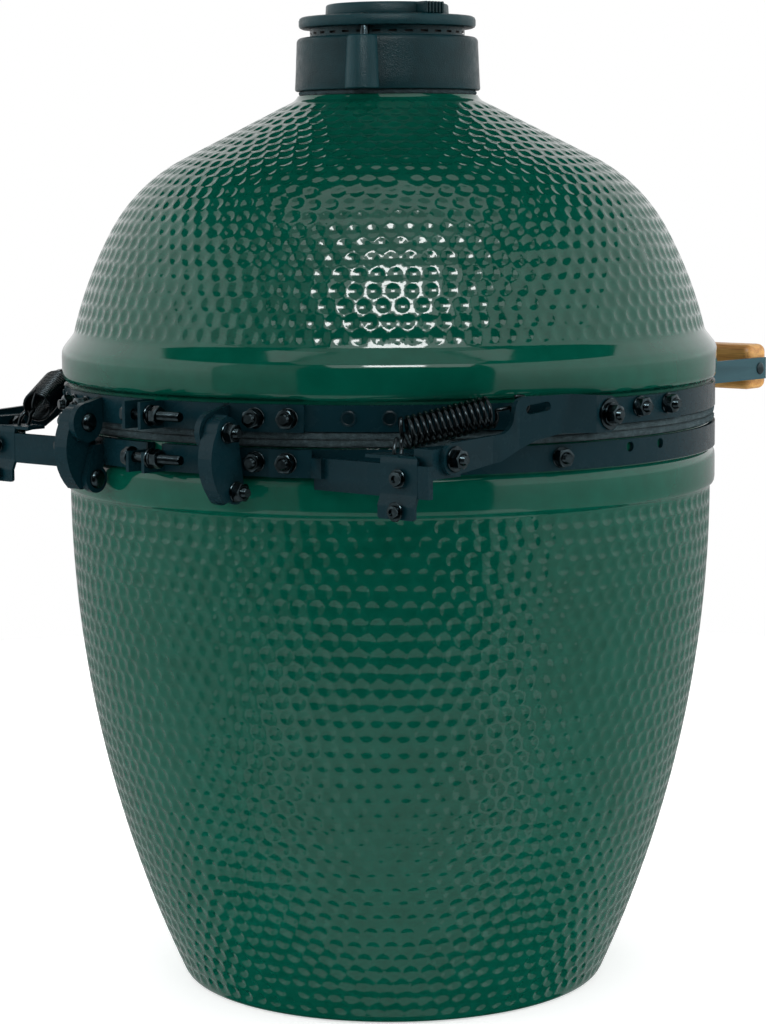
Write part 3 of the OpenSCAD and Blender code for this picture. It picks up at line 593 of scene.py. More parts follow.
def dimpled(wall, pitch, size, depth, first, last, keep_out=nowhere):
    """The wall with a round dimple pressed in at each centre, as triangles."""
    angle, v, gap = spread(wall, pitch, first, last, keep_out)
    radius = np.minimum(size * rng.uniform(0.95, 1.04, len(angle)), gap * 0.5 / 1.13)
    r = wall.radius(v)
    pa, pv, pd = [angle], [v], [depth * (radius / size)]
    for share, count, sunk in DIMPLE_RINGS:
        turn = rng.uniform(0, TAU, len(angle))
        for k in range(count):
            a = turn + TAU * k / count
            reach = radius * share * (1 + 0.01 * rng.standard_normal(len(angle)))
            pa.append(angle + reach * np.cos(a) / r)
            pv.append(v + reach * np.sin(a) / r)
            pd.append(depth * sunk * radius / size)
    top = wall.v[-1]
    pa, pv, pd = np.concatenate(pa) % TAU, np.concatenate(pv), np.concatenate(pd)
    inside = (pv > 0.0002) & (pv < top - 0.0002)
    pa, pv, pd = pa[inside], pv[inside], pd[inside]
    for edge in (0.0, top):
        pa = np.concatenate([pa, np.arange(RIM_POINTS) * TAU / RIM_POINTS])
        pv = np.concatenate([pv, np.full(RIM_POINTS, edge)])
        pd = np.concatenate([pd, np.zeros(RIM_POINTS)])
    pad = 0.25  # radians that are repeated past the seam
    low, high = np.nonzero(pa < pad)[0], np.nonzero(pa > TAU - pad)[0]
    flat_a = np.concatenate([pa, pa[low] + TAU, pa[high] - TAU])
    flat_v = np.concatenate([pv, pv[low], pv[high]])
    back = np.concatenate([np.arange(len(pa)), low, high])
    flat = [Vector((a, b)) for a, b in zip(flat_a.tolist(), flat_v.tolist())]
    verts, _, faces, source, _, _ = delaunay_2d_cdt(flat, [], [], 0, 1e-8)
    origin = np.array([k[0] if k else -1 for k in source])
    faces = np.array([list(f) for f in faces])
    middle = np.array([p.x for p in verts])[faces].mean(1)
    faces = faces[(middle >= 0) & (middle < TAU) & (origin[faces] >= 0).all(1)]
    faces = back[origin[faces]]
    return wall.points(pa, pv, pd), faces


def drop_faces(made, test):
    """Leaves out the faces whose middle passes a test."""
    verts, faces = made
    middles = np.array([np.asarray(verts)[list(f)].mean(0) for f in faces])
    return verts, [f for f, out in zip(faces, test(middles)) if not out]


# The draft door's own frame, as in the CAD: X across, -Y out, Z up the wall.
DRAFT_Z = 84.0
DRAFT_TILT = math.asin((BASE_WIDE - DRAFT_Z) / BASE_CURVE)
DRAFT = np.eye(4)
DRAFT[1:3, 1:3] = [[math.cos(DRAFT_TILT), -math.sin(DRAFT_TILT)],
                   [math.sin(DRAFT_TILT), math.cos(DRAFT_TILT)]]
DRAFT[:3, 3] = (0, -base_r(DRAFT_Z), DRAFT_Z)


def near_draft(half_width, half_height):
    """A test for points within a rectangle round the draft opening."""
    def test(points):
        q = (np.asarray(points) - DRAFT[:3, 3]) @ DRAFT[:3, :3]
        return (np.abs(q[:, 0]) < half_width) & (np.abs(q[:, 2]) < half_height) & (q[:, 1] < 60)
    return test


def block(half_x, y0, y1, half_z, hole, soft):
    """A plate facing -Y with rounded front edges and a square hole."""
    def loop(hx, hz, grow, y):
        x, z = hx + grow, hz + grow
        return [(-x, y, -z), (x, y, -z), (x, y, z), (-x, y, z)]
    rings = [loop(half_x, half_z, grow, y) for grow, y in
             ((0, y1), (0, y0 + soft), (-0.3 * soft, y0 + 0.3 * soft), (-soft, y0))]
    rings += [loop(*hole, grow, y) for grow, y in
              ((soft * 0.6, y0), (0, y0 + soft * 0.6), (0, y1))]
    verts = np.array([p for ring in rings + rings[:1] for p in ring], float)
    return verts, grid_faces(len(rings) + 1, 4, True)


def make_base():
    wall = Wall([(base_r(z), z) for z in np.linspace(7, 415.5, 160)])
    in_hole = near_draft(78, 38)

    def bare(z):
        return base_r(z, BASE_THICK)

    skin = Shape()
    skin.add(drop_faces(dimpled(wall, 14.3, 6.35, 1.3, 6.5, wall.s[-1] - 5.5,
                                near_draft(100, 57)), in_hole))
    foot = arc(base_r(7) - 9.5, 9.5, 9.5, -90, -14, 6)
    skin.add(ring([(0.01, 0.9), (base_r(0) - 40, 0.9), (base_r(0) - 34, 0.0)] + foot
                  + [(base_r(7), 7)]))
    skin.add(ring([(base_r(415.5), 415.5), (267.9, 417.2), (268.8, 418.0), (270.2, 419.2),
                   (271.1, 421.0), (271.5, 424.0), (271.5, 440.5), (271.1, 444.5),
                   (269.9, 447.0), (268.5, 448.0), (268.1, 449.0), (268.1, 469.5),
                   (267.4, 470.7), (265.5, 471.0)]))
    skin.add(ring([(265.5, 471), (bare(471) + 1.5, 471), (bare(471), 469)]), mat=1)
    skin.add(drop_faces(ring([(bare(z), z) for z in np.linspace(469, 34, 30)]), in_hole), mat=1)
    skin.add(ring([(bare(34), 34), (bare(30) - 5, 28.6), (bare(28) - 12, 28), (0.01, 28)]), mat=1)
    skin.add(block(92, -3, 23.5, 49, (70, 31), 5), DRAFT)
    skin.piece("base_skin", "base", "glaze", (GLAZE, CLAY), ("base_shell",), smooth=50)


def make_dome():
    outer = dome_profile(0.0, 79.3)
    wall = Wall(outer)
    skin = Shape()
    skin.add(dimpled(wall, 14.2, 6.35, 1.4, 7.0, wall.s[-1] - 13))
    neck = outer[-1]
    cx = neck[0] + 10 * math.cos(FLANK)
    cz = neck[1] + 10 * math.sin(FLANK)
    fillet = [(cx - 10 * math.cos(math.radians(a)), cz - 10 * math.sin(math.radians(a)))
              for a in np.linspace(63.1, 25, 7)]
    top = fillet[-1][1]
    skin.add(ring(fillet + [(fillet[-1][0] - 0.8, top), (62, top)]))
    skin.add(ring([(62, top), (52, top), (50, top - 2), (50, 719.5)]), mat=1)
    inner = dome_profile(DOME_THICK, 50)
    skin.add(ring(inner[::-1][::3] + [(238, 538), (244, 496), (244, 484), (245.5, 482.7)]), mat=1)
    skin.add(ring([(245.5, 482.7), (264.5, 482.7)]), mat=1)
    skin.add(ring([(264.5, 482.7), (267.4, 483.0), (268.1, 484.2), (268.1, 504.6),
                   (268.5, 505.6), (270.3, 506.6), (271.9, 508.2), (272.8, 510.6),
                   (273.0, 514), (273.0, 526.5), (272.7, 530), (271.9, 532.6),
                   (270.4, 535.0), (264.6, 542.3), (263.2, 544.3), outer[0]]))
    skin.piece("dome_skin", "dome", "glaze", (GLAZE, CLAY), ("dome_shell",), smooth=50)


make_base()
make_dome()


# ------------------------------------------------------------------ metal pieces

SIDES = (("left", 1), ("right", -1))
BOLTS = ("dark_bolt", (BOLT,))  # the slot and the materials of the fasteners
LOW_CLAMP, TOP_CLAMP = 460.0, 493.0
CLAMP_Y = 289.5
LOW_PIVOT, TOP_PIVOT = (275.0, 438.0), (283.0, 483.0)
ARM_REAR, ARM_FRONT = (216.0, 468.0), (64.0, 492.0)
LINK_OUT = 86.0  # the rear link's outer face
THERMO_TILT = math.radians(42)


def soften(width, *names):
    """Rounds the edges of CAD nodes a little."""
    for name in names:
        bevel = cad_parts[name].modifiers.new("soft_edges", "BEVEL")
        bevel.width = width * MM
        bevel.segments = 2
        bevel.limit_method = "ANGLE"
        bevel.angle_limit = math.radians(40)
        bevel.harden_normals = True


def paint(material, *names):
    for name in names:
        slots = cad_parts[name].data.materials
        slots.clear()
        slots.append(material)


def nut_on_rod(shape, at, z, reach, height=6.2, turn=0.0):
    """An M8 nut and the end of its screwed rod, along Z from z."""
    shape.add(hex_nut(13, height, 3.9, z, turn=turn), at)
    shape.add(thread(4.0, reach, z), at)


def stud_nut(shape, at, base, reach, split=True):
    """A washer, a split washer, a nut and the end of its stud, along Z from base."""
    shape.add(washer(4.2, 8.0, 1.5, base), at)
    z = base + 1.5
    if split:
        shape.add(spring_washer(4.3, 7.0, 1.9, z), at)
        z += 2.2
    nut_on_rod(shape, at, z, reach, turn=rng.uniform(0, TAU))


def make_clamp(name, z, node, body):
    """A long bolt through both brackets: its head on the left, its nut on the right."""
    shape = Shape()
    left, right = x_frame(CLAMP_Y, z, 1), x_frame(CLAMP_Y, z, -1)
    shape.add(lathe([(0.01, 9.5), (4, 9.5), (4, -10)], 24), left)
    shape.add(washer(4.2, 8.2, 1.6, 10.1), left)
    shape.add(hex_nut(13, 5.4, 0, 11.8), left)
    shape.add(washer(4.2, 8.2, 1.6, 10.1), right)
    shape.add(spring_washer(4.3, 7.2, 2.0, 11.8), right)
    shape.add(hex_nut(13, 6.4, 3.9, 14.2), right)
    shape.add(thread(4.0, 33, 9.5), right)
    shape.piece(name, body, *BOLTS, (node,))


def make_band_bolts():
    low, top = Shape(), Shape()
    rows = ((low, 69.5, LOW_CLAMP, 0.1, False), (low, 19.5, LOW_CLAMP, 4.2, True),
            (low, 25.0, LOW_CLAMP, 8.2, True), (top, 19.5, TOP_CLAMP, 4.2, True),
            (top, 25.0, TOP_CLAMP, 4.2, True), (top, 85.5, 495, 3.2, False),
            (top, 93, 495, 3.2, False))
    for s in (-1, 1):
        for shape, angle, z, base, split in rows:
            stud_nut(shape, band_frame(s * angle, z), base, 10, split)
    low.piece("band_nuts_low", "base", *BOLTS, ("lower_band_bolts",))
    top.piece("band_nuts_top", "dome", *BOLTS, ("arm_plate_bolts",))


def make_rivets():
    shape = Shape()
    head = [(0.01, 0), (6.2, 0), (6.4, 0.5), (6.1, 1.1), (4.9, 1.5), (4.5, 1.2), (4.1, 1.0),
            (2.4, 1.35), (0.01, 1.5)]
    for s in (-1, 1):
        for angle in (34.5, 41.0):
            shape.add(lathe(head, 32), band_frame(s * angle, TOP_CLAMP, 271.3))
    shape.piece("band_rivet_heads", "dome", "black_steel", (POWDER,), ("band_rivets",))


def make_link_bolts(name, pivot, node, body):
    shape = Shape()
    for s in (1, -1):
        at = x_frame(*pivot, s)
        shape.add(dome_head(7.4, 4.6, -65.8), x_frame(*pivot, -s))
        shape.add(lathe([(0.01, 65), (4, 65), (4, 88)], 24), at)
        shape.add(washer(4.2, 8.0, 1.5, LINK_OUT + 0.1), at)
        nut_on_rod(shape, at, LINK_OUT + 1.7, 10.5, 6.6, 0.4)
    shape.piece(name, body, *BOLTS, (node,))


def make_arm_bolts():
    rear, front = Shape(), Shape()
    for s in (1, -1):
        at = x_frame(*ARM_REAR, s)
        rear.add(lathe([(0.01, 223), (4, 223), (4, 254)], 24), at)
        rear.add(hex_nut(13, 5.6, 0, 222.0), at)
        rear.add(washer(4.2, 9.5, 1.5, 250.3), at)
        nut_on_rod(rear, at, 251.9, 9.6, turn=0.3)
        at = x_frame(*ARM_FRONT, s)
        front.add(lathe([(0.01, 262), (4, 262), (4, 283)], 24), at)
        front.add(washer(4.2, 12.0, 1.6, 276.6), at)
        front.add(washer(4.2, 9.0, 1.6, 278.3), at)
        nut_on_rod(front, at, 280.0, 9.0, turn=0.2)
    rear.piece("arm_bolts_rear", "base", *BOLTS, ("arm_pivot_bolts_rear",))
    front.piece("arm_bolts_front", "dome", *BOLTS, ("arm_pivot_bolts_front",))


def bent_plate(path, thick, x0, x1, round_ends):
    """A sheet bent along a path of (y, z) points, from x0 to x1, with round corners at its ends."""
    line = [np.array(p, float) for p in path]
    dense = []
    for a, b in zip(line, line[1:]):
        steps = max(2, int(np.linalg.norm(b - a) / 1.2))
        dense += [a + (b - a) * k / steps for k in range(steps)]
    dense = np.array(dense + [line[-1]])
    along = np.concatenate([[0], np.cumsum(np.linalg.norm(np.diff(dense, axis=0), axis=1))])
    slope = np.gradient(dense, axis=0)
    slope /= np.linalg.norm(slope, axis=1)[:, None]
    out = np.stack([slope[:, 1], -slope[:, 0]], 1)
    verts = []
    for (y, z), (ny, nz), d in zip(dense, out, along):
        cut = 0.0
        for corner, gap in ((round_ends[0], d), (round_ends[1], along[-1] - d)):
            if gap < corner:
                cut = max(cut, corner - math.sqrt(corner ** 2 - (corner - gap) ** 2))
        for x, off in ((x0 + cut, 0), (x1 - cut, 0), (x1 - cut, 1), (x0 + cut, 1)):
            verts.append((x, y + ny * thick * off, z + nz * thick * off))
    faces = grid_faces(len(dense), 4, True)
    last = 4 * (len(dense) - 1)
    return np.array(verts), faces + [(3, 2, 1, 0), (last, last + 1, last + 2, last + 3)]


def make_anchor_plates():
    """The bent plates at the ends of the spring bar, each with a tab for the spring's hook."""
    upright = [(244.6, 424), (244.6, 434.5), (243.6, 436.5), (242.4, 439.5), (241.3, 441.6),
               (241.2, 443.5), (241.2, 465.5), (240.4, 468.8), (238.0, 470.3)]
    tab = [(240.2, 469.9), (217.5, 469.9)]
    for side, s in SIDES:
        shape = Shape()
        for verts, faces in (bent_plate(upright, -2.6, 200.0, 235.4, (2.0, 5.0)),
                             bent_plate(tab, -2.4, 184, 217, (0.5, 8.0))):
            shape.add((verts * (s, 1, 1), faces))
        shape.piece(f"anchor_sheet_{side}", "base", "black_steel", (POWDER,),
                    (f"anchor_plate_{side}",))


def make_anchor_screws():
    shape = Shape()
    for s in (1, -1):
        for z, lift, r in ((454, 243.7, 5.6), (430, 246.7, 5.0)):
            at = axis_frame((s * 219, 0, z), (0, 1, 0))
            shape.add(washer(3.2, 7.2, 1.2, lift), at)
            head = ((0.01, 1.2), (r, 1.2), (r, 3.4), (r - 0.5, 4.1), (2.8, 4.3), (2.6, 2.6),
                    (0.01, 2.6))
            shape.add(lathe([(a, lift + b) for a, b in head], 32), at)
            shape.add(thread(3.0, 9, 1 - lift, 1.0), axis_frame((s * 219, 0, z), (0, -1, 0)))
    shape.piece("anchor_screw_heads", "base", *BOLTS, ("anchor_screws",))


COIL_REAR, COIL_FRONT = (201, 215, 484), (237.5, 159, 498)
HOOK_REAR, HOOK_FRONT = (204, 226, 473), (248, 138, 502)


def coil_path(start, end, radius, turns, tail_a, tail_b):
    """A close-wound spring from start to end, with a hook to a point at each end."""
    start, end = np.array(start, float), np.array(end, float)
    at = axis_frame(start, end - start)
    length = np.linalg.norm(end - start)
    count = int(turns * 22)
    t = np.linspace(0, 1, count + 1)
    a = t * turns * TAU
    coil = np.stack([radius * np.cos(a), radius * np.sin(a), t * length], -1)
    coil = coil @ at[:3, :3].T + at[:3, 3]

    def hook(from_point, centre, to, way):
        """From the coil's edge in to its axis, then out to the hole and round it."""
        to = np.array(to, float)
        out = (to - centre) / np.linalg.norm(to - centre)
        neck = centre + out * 4.0
        side = from_point - centre
        lead = [from_point + (neck - from_point) * f + out * 2.2 * math.sin(math.pi * f)
                for f in np.linspace(0.1, 1.0, 7)]
        across = side / np.linalg.norm(side)
        loop = [to - out * 7.5 * math.cos(b) + across * 7.0 * math.sin(b) * way
                for b in np.linspace(0.0, 1.6 * math.pi, 22)]
        return lead + loop

    head = hook(coil[-1], end, tail_b, 1)
    tail = hook(coil[0], start, tail_a, -1)
    return np.array(tail[::-1] + coil.tolist() + head)


def make_springs():
    for side, s in SIDES:
        path = coil_path(COIL_REAR, COIL_FRONT, 11.4, 14.5, HOOK_REAR, HOOK_FRONT) * (s, 1, 1)
        shape = Shape().add(tube(path, 1.5, 10))
        spring = shape.piece(f"spring_coil_{side}", None, "dark_bolt", (SPRING,),
                             (f"spring_{side}",), smooth=180, weld=0.0005)
        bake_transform(spring)


def felt_ring(name, inner, outer, z, height, node, body, n=720):
    """A felt ring with a soft, uneven edge."""
    top = z + height
    profile = [(inner, z), (inner + 1, top), (outer - 1.6, top), (outer - 0.5, top - 0.7),
               (outer, z + height * 0.65), (outer, z + height * 0.35), (outer - 0.5, z + 0.7),
               (outer - 1.6, z), (inner, z)]
    verts, faces = lathe(profile, n)
    verts = verts.reshape(len(profile), n, 3)
    angles = np.arange(n) * TAU / n
    for row in range(3, 7):
        wave = sum(rng.uniform(0.1, 0.28) * np.sin(k * angles + rng.uniform(0, TAU))
                   for k in (23, 41, 77, 131, 190))
        wave += rng.normal(0, 0.13, n)
        scale = 1 + (np.minimum(wave, 0.45) - 0.15) / outer
        verts[row, :, :2] *= scale[:, None]
    Shape().add((verts.reshape(-1, 3), faces)).piece(name, body, "felt", (FELT,), (node,))


def rounded_box(sx, sy, sz, r, n=5):
    """A box centred on the origin with round edges and corners."""
    half = np.array((sx, sy, sz)) / 2
    core = half - r
    lines = []
    for inner in core:
        bend = [inner + r * math.sin(a) for a in np.linspace(0, math.pi / 2, n + 1)]
        flat = np.linspace(-inner, inner, 9)[1:-1].tolist()
        lines.append([-b for b in bend[::-1]] + flat + bend)
    faces, verts = [], []
    for fixed in range(3):
        us, vs = (lines[k] for k in range(3) if k != fixed)
        for way in (-1, 1):
            start = len(verts)
            for u in us:
                for v in vs:
                    q = np.insert((u, v), fixed, way * half[fixed])
                    middle = np.clip(q, -core, core)
                    size = np.linalg.norm(q - middle)
                    verts.append(middle + (q - middle) * (r / size if size > 1e-9 else 0))
            faces += [tuple(i + start for i in f) for f in grid_faces(len(us), len(vs), False)]
    return np.array(verts), faces


def make_grip():
    verts, faces = rounded_box(290, 30, 40, 7)
    shape = Shape().add((verts + (0, -336, 500.5), faces))
    shape.piece("grip_wood", "dome", "wood", (TIMBER,), ("handle_grip",), smooth=60)


def make_handle_bolts():
    shape = Shape()
    for s in (1, -1):
        at = x_frame(-331, 499.5, s)
        shape.add(dome_head(5.2, 1.4, 150.0), at)
        stud_nut(shape, band_frame(s * 152.5, TOP_CLAMP), 4.2, 9, split=False)
    shape.piece("handle_bolt_heads", "dome", *BOLTS, ("handle_bolts",))


# ------------------------------------------------------------------ vent

COLLAR_Z, LID_Z, DIAL_Z = 742.1, 784.6, 802.9
SPIGOT_Z = COLLAR_Z + 43.9
PIN_ANGLE = math.radians(-25)


def on_pin(radius, z):
    """An upright frame on the line from the vent's middle to its pin."""
    return axis_frame((radius * math.sin(PIN_ANGLE), radius * math.cos(PIN_ANGLE), z), (0, 0, 1),
                      (1, 0, 0))


def make_collar():
    shape = Shape()
    z, h = COLLAR_Z, 43.6
    shape.add(lathe([(56.2, z), (75.6, z), (76.5, z + 0.6), (76.8, z + 1.6), (76.2, z + 12),
                     (75.2, z + h - 8)] + arc(70.9, z + h - 4.2, 4.2, 5, 88, 8)
                    + [(58.8, z + h), (58.2, z + h - 0.8), (58.2, z + h - 5), (68, z + h - 6),
                       (70, z + 7), (56.2, z + 7), (56.2, z)], 160))
    shape.add(lathe([(0.01, 0.3), (14.6, 0.3), (15.2, 1.2), (13.0, h - 3), (12.2, h - 1.2),
                     (10.8, h - 0.4), (0.01, h - 0.4)], 64), on_pin(71, z))
    shape.piece("collar_casting", "dome", "cast_iron", (CAST,), ("vent_collar",), smooth=35)


def make_lid():
    """The lid, with a row of small windows round its neck."""
    shape = Shape()
    z, foot, n = LID_Z + 8.4, SPIGOT_Z, 240
    rows = [(58, foot), (64, foot), (64.0, foot + 0.8), (64.0, foot + 2.0), (64.0, foot + 3.8),
            (64.0, foot + 5.2), (64, z), (70.6, z), (72.4, z + 0.9), (73.2, z + 2.4),
            (73.2, z + 6.4), (72.4, z + 8.4), (70.8, z + 9.4), (67.5, z + 9.6), (52.5, z + 9.6),
            (51.5, z + 8.2), (3.2, z + 8.2)]
    verts, faces = lathe(rows, n)
    shape.add((verts, [f for f in faces if f[0] // n != 3 or (f[0] % n // 4) % 2]))
    shape.add(lathe([(58, foot), (58, z + 5), (3.2, z + 5)], n))
    # A black sheet behind the windows: painted shade where the lid's hollow lies in shadow, in the
    # dial's black ink.
    shape.add(lathe([(61.5, foot + 0.4), (61.5, z)], n), mat=1)
    shape.piece("lid_casting", "vent_cap", "cast_iron", (CAST, INK_AND_PAINTED_SHADE), ("vent_lid",), smooth=35)


def make_dial():
    """The turning wheel: petal openings, a raised rim and a ribbed tab."""
    shape = Shape()
    z, h = DIAL_Z, 10.0
    shape.add(lathe([(3.2, z), (49.6, z), (50.8, z + 0.9), (51, z + 2), (50.6, z + h - 1.6),
                     (49.8, z + h - 0.5), (48.4, z + h), (46.6, z + h), (45.9, z + h - 0.5),
                     (45.4, z + 5.4), (14.5, z + 5.0), (11.4, z + 5.2), (10.8, z + h - 1.4),
                     (9.8, z + h - 0.6), (3.2, z + h - 0.6), (3.2, z)], 144))
    for k in range(5):
        a = math.radians(20 + 36 + 72 * k)
        at = np.eye(4)
        at[:3, 3] = (30 * math.cos(a), 30 * math.sin(a), 0)
        shape.add(lathe([(12.9, z + 4.9), (12.9, z + 6.1), (12.0, z + 6.4), (11.2, z + 6.0),
                         (11.0, z + 4.0), (0.01, z + 4.0)], 40), at)
    grip = math.radians(-190)
    at = axis_frame((0, 0, z), (0, 0, 1), (math.cos(grip), math.sin(grip), 0))
    for k in range(6):
        verts, faces = rounded_box(13.5, 2.2, h - 0.4, 0.8, 3)
        shape.add((verts + (55.2, (k - 2.5) * 3.4, h / 2), faces), at)
    verts, faces = rounded_box(12.0, 20, h - 2.0, 1.0, 3)
    shape.add((verts + (54.5, 0, h / 2), faces), at)
    shape.piece("dial_casting", "vent_wheel", "cast_iron", (CAST,), ("vent_dial",), smooth=35)


def make_vent_metal():
    pin, rivet = Shape(), Shape()
    pin.add(lathe([(0.01, 760), (3.9, 760), (3.9, 801.4), (3.5, 802.2), (2.6, 802.9),
                   (0.01, 803)], 32), on_pin(66.5, 0))
    pin.piece("pin_turned", "dome", "bare_steel", (BOLT,), ("vent_pivot_pin",))
    rivet.add(lathe([(0.01, 789.1), (5.6, 789.1), (6, 789.6), (6, 792.3), (3, 792.5), (3, 813.0),
                     (6.0, 813.1), (6.1, 813.6), (5.2, 814.4), (3.4, 815.0), (0.01, 815.1)], 40))
    rivet.piece("rivet_turned", "vent_cap", "bare_steel", (ROUND_STEEL,), ("vent_dial_rivet",))


# ------------------------------------------------------------------ thermometer

def thermo_frame():
    c, s = math.cos(THERMO_TILT), math.sin(THERMO_TILT)
    return axis_frame((0, -DOME_B[0] - 143 * c, DOME_B[1] + 143 * s), (0, -c, s), (1, 0, 0))


def make_thermometer():
    at = thermo_frame()
    case = Shape()
    case.add(lathe([(0.01, 0.6), (9.4, 0.6), (9.6, 3.4), (26.5, 3.5), (28.4, 4.0), (29, 5.2),
                    (29, 12.5), (28.6, 14.6), (27.7, 15.5), (26.8, 15.3), (26.2, 14.2), (26, 12),
                    (26, 6.9), (0.01, 6.9)], 96), at)
    case.add(lathe([(0.01, 10.4), (1.2, 10.4), (1.2, 6)], 20), at)
    case.piece("thermometer_bezel", "dome", "bare_steel", (ROUND_STEEL,), ("thermometer_case",))
    dial = Shape()
    dial.add(lathe([(1.5, 6.98), (25.8, 6.98), (25.8, 6.2)], 72), at)
    for k in range(31):
        a = math.radians(225 - 9 * k)
        inner, wide = (18.6, 0.42) if k % 5 == 0 else (20.6, 0.22)
        c, s = math.cos(a), math.sin(a)
        tick = [(r * c - w * s, r * s + w * c, 7.04)
                for r, w in ((inner, wide), (23.4, wide), (23.4, -wide), (inner, -wide))]
        dial.add((tick, [(0, 1, 2, 3)]), at, mat=1)
    dial.piece("dial_face", "dome", "bare_steel", (DIAL, INK_AND_PAINTED_SHADE), ("thermometer_dial",))


make_clamp("clamp_bolt_low", LOW_CLAMP, "lower_clamp_bolt", "base")
make_clamp("clamp_bolt_top", TOP_CLAMP, "upper_clamp_bolt", "dome")
make_band_bolts()
make_rivets()
make_link_bolts("link_bolts_low", LOW_PIVOT, "link_pivot_bolts_low", "base")
make_link_bolts("link_bolts_top", TOP_PIVOT, "link_pivot_bolts_top", "dome")
make_arm_bolts()
make_anchor_plates()
make_anchor_screws()
make_springs()
felt_ring("felt_low", 244.2, 270.6, 471.0, 5.6, "lower_gasket", "base")
felt_ring("felt_top", 244.2, 270.6, 476.9, 5.6, "upper_gasket", "dome")
felt_ring("felt_vent", 50.2, 73.6, 738.1, 4.0, "vent_gasket", "dome", 240)
make_grip()
make_handle_bolts()
make_collar()
make_lid()
make_dial()
make_vent_metal()
make_thermometer()

BLACK_PLATES = ["lower_band", "upper_band", "arm_pivot_blocks", "draft_frame"] + [
    f"{name}_{side}" for name in ("lower_bracket", "upper_bracket", "spring_bar", "rear_link",
                                  "side_arm", "arm_plate") for side, _ in SIDES]
paint(POWDER, *BLACK_PLATES)
soften(0.5, *BLACK_PLATES)
paint(STRAP, "handle_bracket_left", "handle_bracket_right")
soften(0.5, "handle_bracket_left", "handle_bracket_right")
paint(CLAY, "fire_box", "fire_ring")
soften(1.5, "fire_box", "fire_ring")
paint(IRON, "charcoal_grate")
paint(STEEL, "cooking_grid", "vent_mesh", "draft_door", "draft_screen", "draft_frame_screws",
      "thermometer_stem", "thermometer_nut")
soften(0.3, "draft_door", "draft_frame_screws")
paint(RED, "thermometer_needle")
paint(GLASS, "thermometer_lens")


# ------------------------------------------------------------------ stage and light

FLOOR_RADIUS, FLOOR_GLOW = 1.8, 0.5
TENT_RIGHT, TENT_LEFT, TENT_EDGE = 34.0, 330.0, 300.0  # degrees round from the camera's azimuth
ROOM_TOP = 3.2


def glow(name, *stops):
    """A light whose strength follows the height above the floor, in metres."""
    m = Nodes(name)
    m.tree.nodes.remove(m.shader)
    height = m.node("ShaderNodeSeparateXYZ")
    m.link(m.node("ShaderNodeNewGeometry").outputs["Position"], height.inputs[0])
    lamp = m.node("ShaderNodeEmission", Strength=1.0)
    m.link(m.ramp(m.span(height.outputs["Z"], 0.0, 3.0, 0.0, 1.0),
                  *[(z / 3.0, value) for z, value in stops]), lamp.inputs["Color"])
    m.link(lamp.outputs[0], m.out.inputs["Surface"])
    return m.material


def stage_mesh(name, verts, faces, material):
    mesh = bpy.data.meshes.new(name)
    mesh.from_pydata([tuple(v) for v in verts], [], faces)
    mesh.materials.append(material)
    mesh.shade_smooth()
    obj = linked(name, mesh)
    return obj


def curtain(name, start, end, radius, low, material):
    """An upright sheet round the grill, between two azimuths measured from the camera's."""
    verts, faces, steps = [], [], 48
    for i in range(steps + 1):
        out = direction(SHOT + start + (end - start) * i / steps, 0) * radius
        verts += [out + Vector((0, 0, low)), out + Vector((0, 0, ROOM_TOP))]
    for i in range(steps):
        faces.append((2 * i, 2 * i + 2, 2 * i + 3, 2 * i + 1))
    sheet = stage_mesh(name, verts, faces, material)
    sheet.visible_camera = False
    return sheet


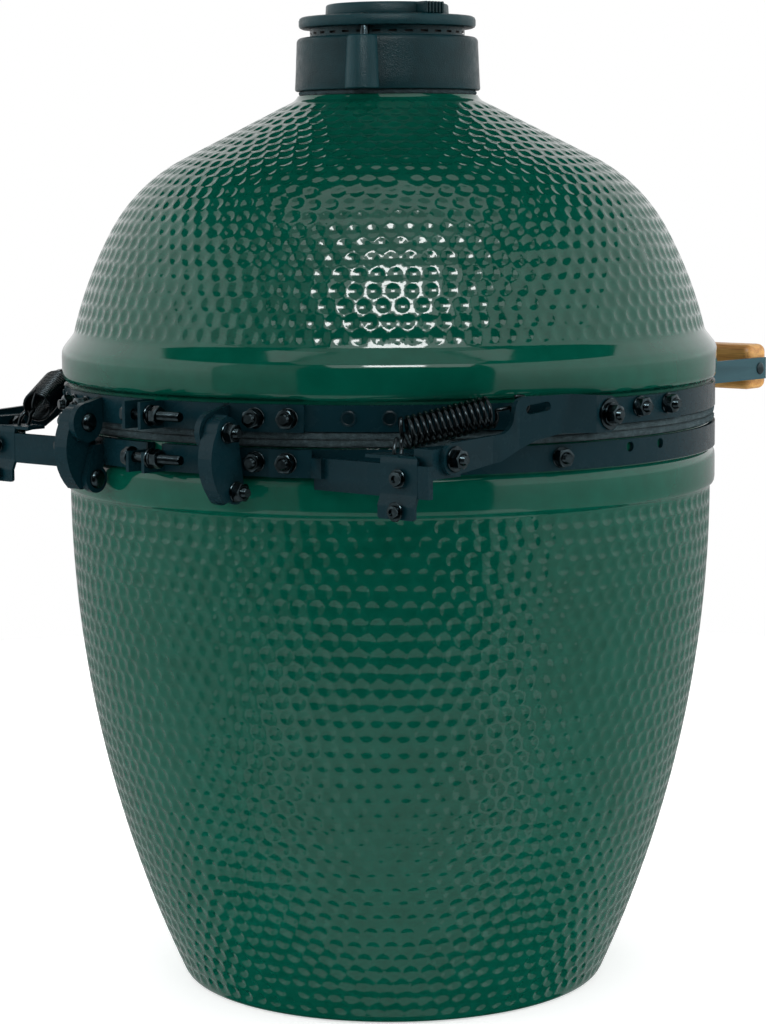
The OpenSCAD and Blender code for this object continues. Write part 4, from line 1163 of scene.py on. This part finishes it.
def make_stage():
    """A round white floor inside a white tent that is open towards the camera.

    The camera sees only the floor. The backdrop lights matt surfaces and the tent is seen in
    glossy ones.
    """
    m = Nodes("paper")
    m.set(color=m.ramp(m.noise(3, 2), (0.3, 0.90), (0.7, 0.92)), rough=0.9)
    m.shader.inputs["Emission Color"].default_value = (1, 1, 1, 1)
    m.shader.inputs["Emission Strength"].default_value = FLOOR_GLOW
    angles = np.linspace(0, TAU, 96, endpoint=False)
    rim = [(FLOOR_RADIUS * math.cos(a), FLOOR_RADIUS * math.sin(a), 0) for a in angles]
    floor = stage_mesh("floor", rim, [tuple(range(96))], m.material)
    floor.visible_glossy = False
    backdrop = curtain("backdrop", TENT_RIGHT, TENT_LEFT, 3.5, 0.0,
                       glow("backdrop_light", (0.0, 1.06), (3.0, 1.06)))
    backdrop.visible_glossy = False
    side = glow("tent_light", (0.0, 0.42), (0.35, 0.55), (0.62, 1.0), (3.0, 1.0))
    dim = glow("tent_edge", (0.0, 0.20), (0.35, 0.22), (0.62, 0.34), (3.0, 0.34))
    for name, start, end, light in (("tent", TENT_RIGHT, TENT_EDGE, side),
                                    ("tent_left", TENT_EDGE, TENT_LEFT, dim)):
        curtain(name, start, end, 3.2, -2.5, light).visible_diffuse = False


def softbox(name, azimuth, elevation, distance, width, height, radiance, reflected):
    """A rectangular light that faces the grill, either only reflected or only lighting it."""
    back = direction(SHOT + azimuth, elevation)
    data = bpy.data.lights.new(name, "AREA")
    data.shape = "RECTANGLE"
    data.size, data.size_y = width, height
    data.energy = radiance * 4 * width * height
    lamp = linked(name, data)
    lamp.location = Vector((0, 0, 0.58)) + back * distance
    lamp.rotation_mode = "QUATERNION"
    lamp.rotation_quaternion = back.to_track_quat("Z", "Y")
    lamp.visible_glossy = reflected
    lamp.visible_diffuse = not reflected


def make_light():
    """White for the camera alone, cards that show in the glaze, and fills for its body colour."""
    world = bpy.data.worlds.new("room")
    bpy.context.scene.world = world
    world.use_nodes = True
    shade = world.node_tree.nodes["Background"]
    shade.inputs["Color"].default_value = (1, 1, 1, 1)
    shade.inputs["Strength"].default_value = 1.0
    for ray in ("diffuse", "glossy", "transmission"):
        setattr(world.cycles_visibility, ray, False)
    softbox("key_core", 2, 35, 2.2, 0.68, 0.40, 14.0, True)
    softbox("key_halo", 4, 35, 2.3, 1.8, 0.85, 1.5, True)
    softbox("bridge", 0, 55, 2.0, 1.9, 0.62, 0.45, True)
    softbox("top_box", 0, 76, 1.7, 2.0, 0.75, 0.9, True)
    softbox("low_card", 0, -48, 1.5, 2.4, 1.0, 0.42, True)
    softbox("front_fill", 0, 30, 2.2, 1.6, 1.0, 1.6, False)
    softbox("top_fill", 0, 84, 1.9, 1.6, 1.6, 1.2, False)
    softbox("fill_right", 80, 16, 2.4, 1.6, 1.6, 2.6, False)
    softbox("fill_left", -80, 16, 2.4, 1.6, 1.6, 2.6, False)
    view = bpy.context.scene.view_settings
    view.view_transform = "Standard"
    view.look = "None"


make_stage()
make_light()
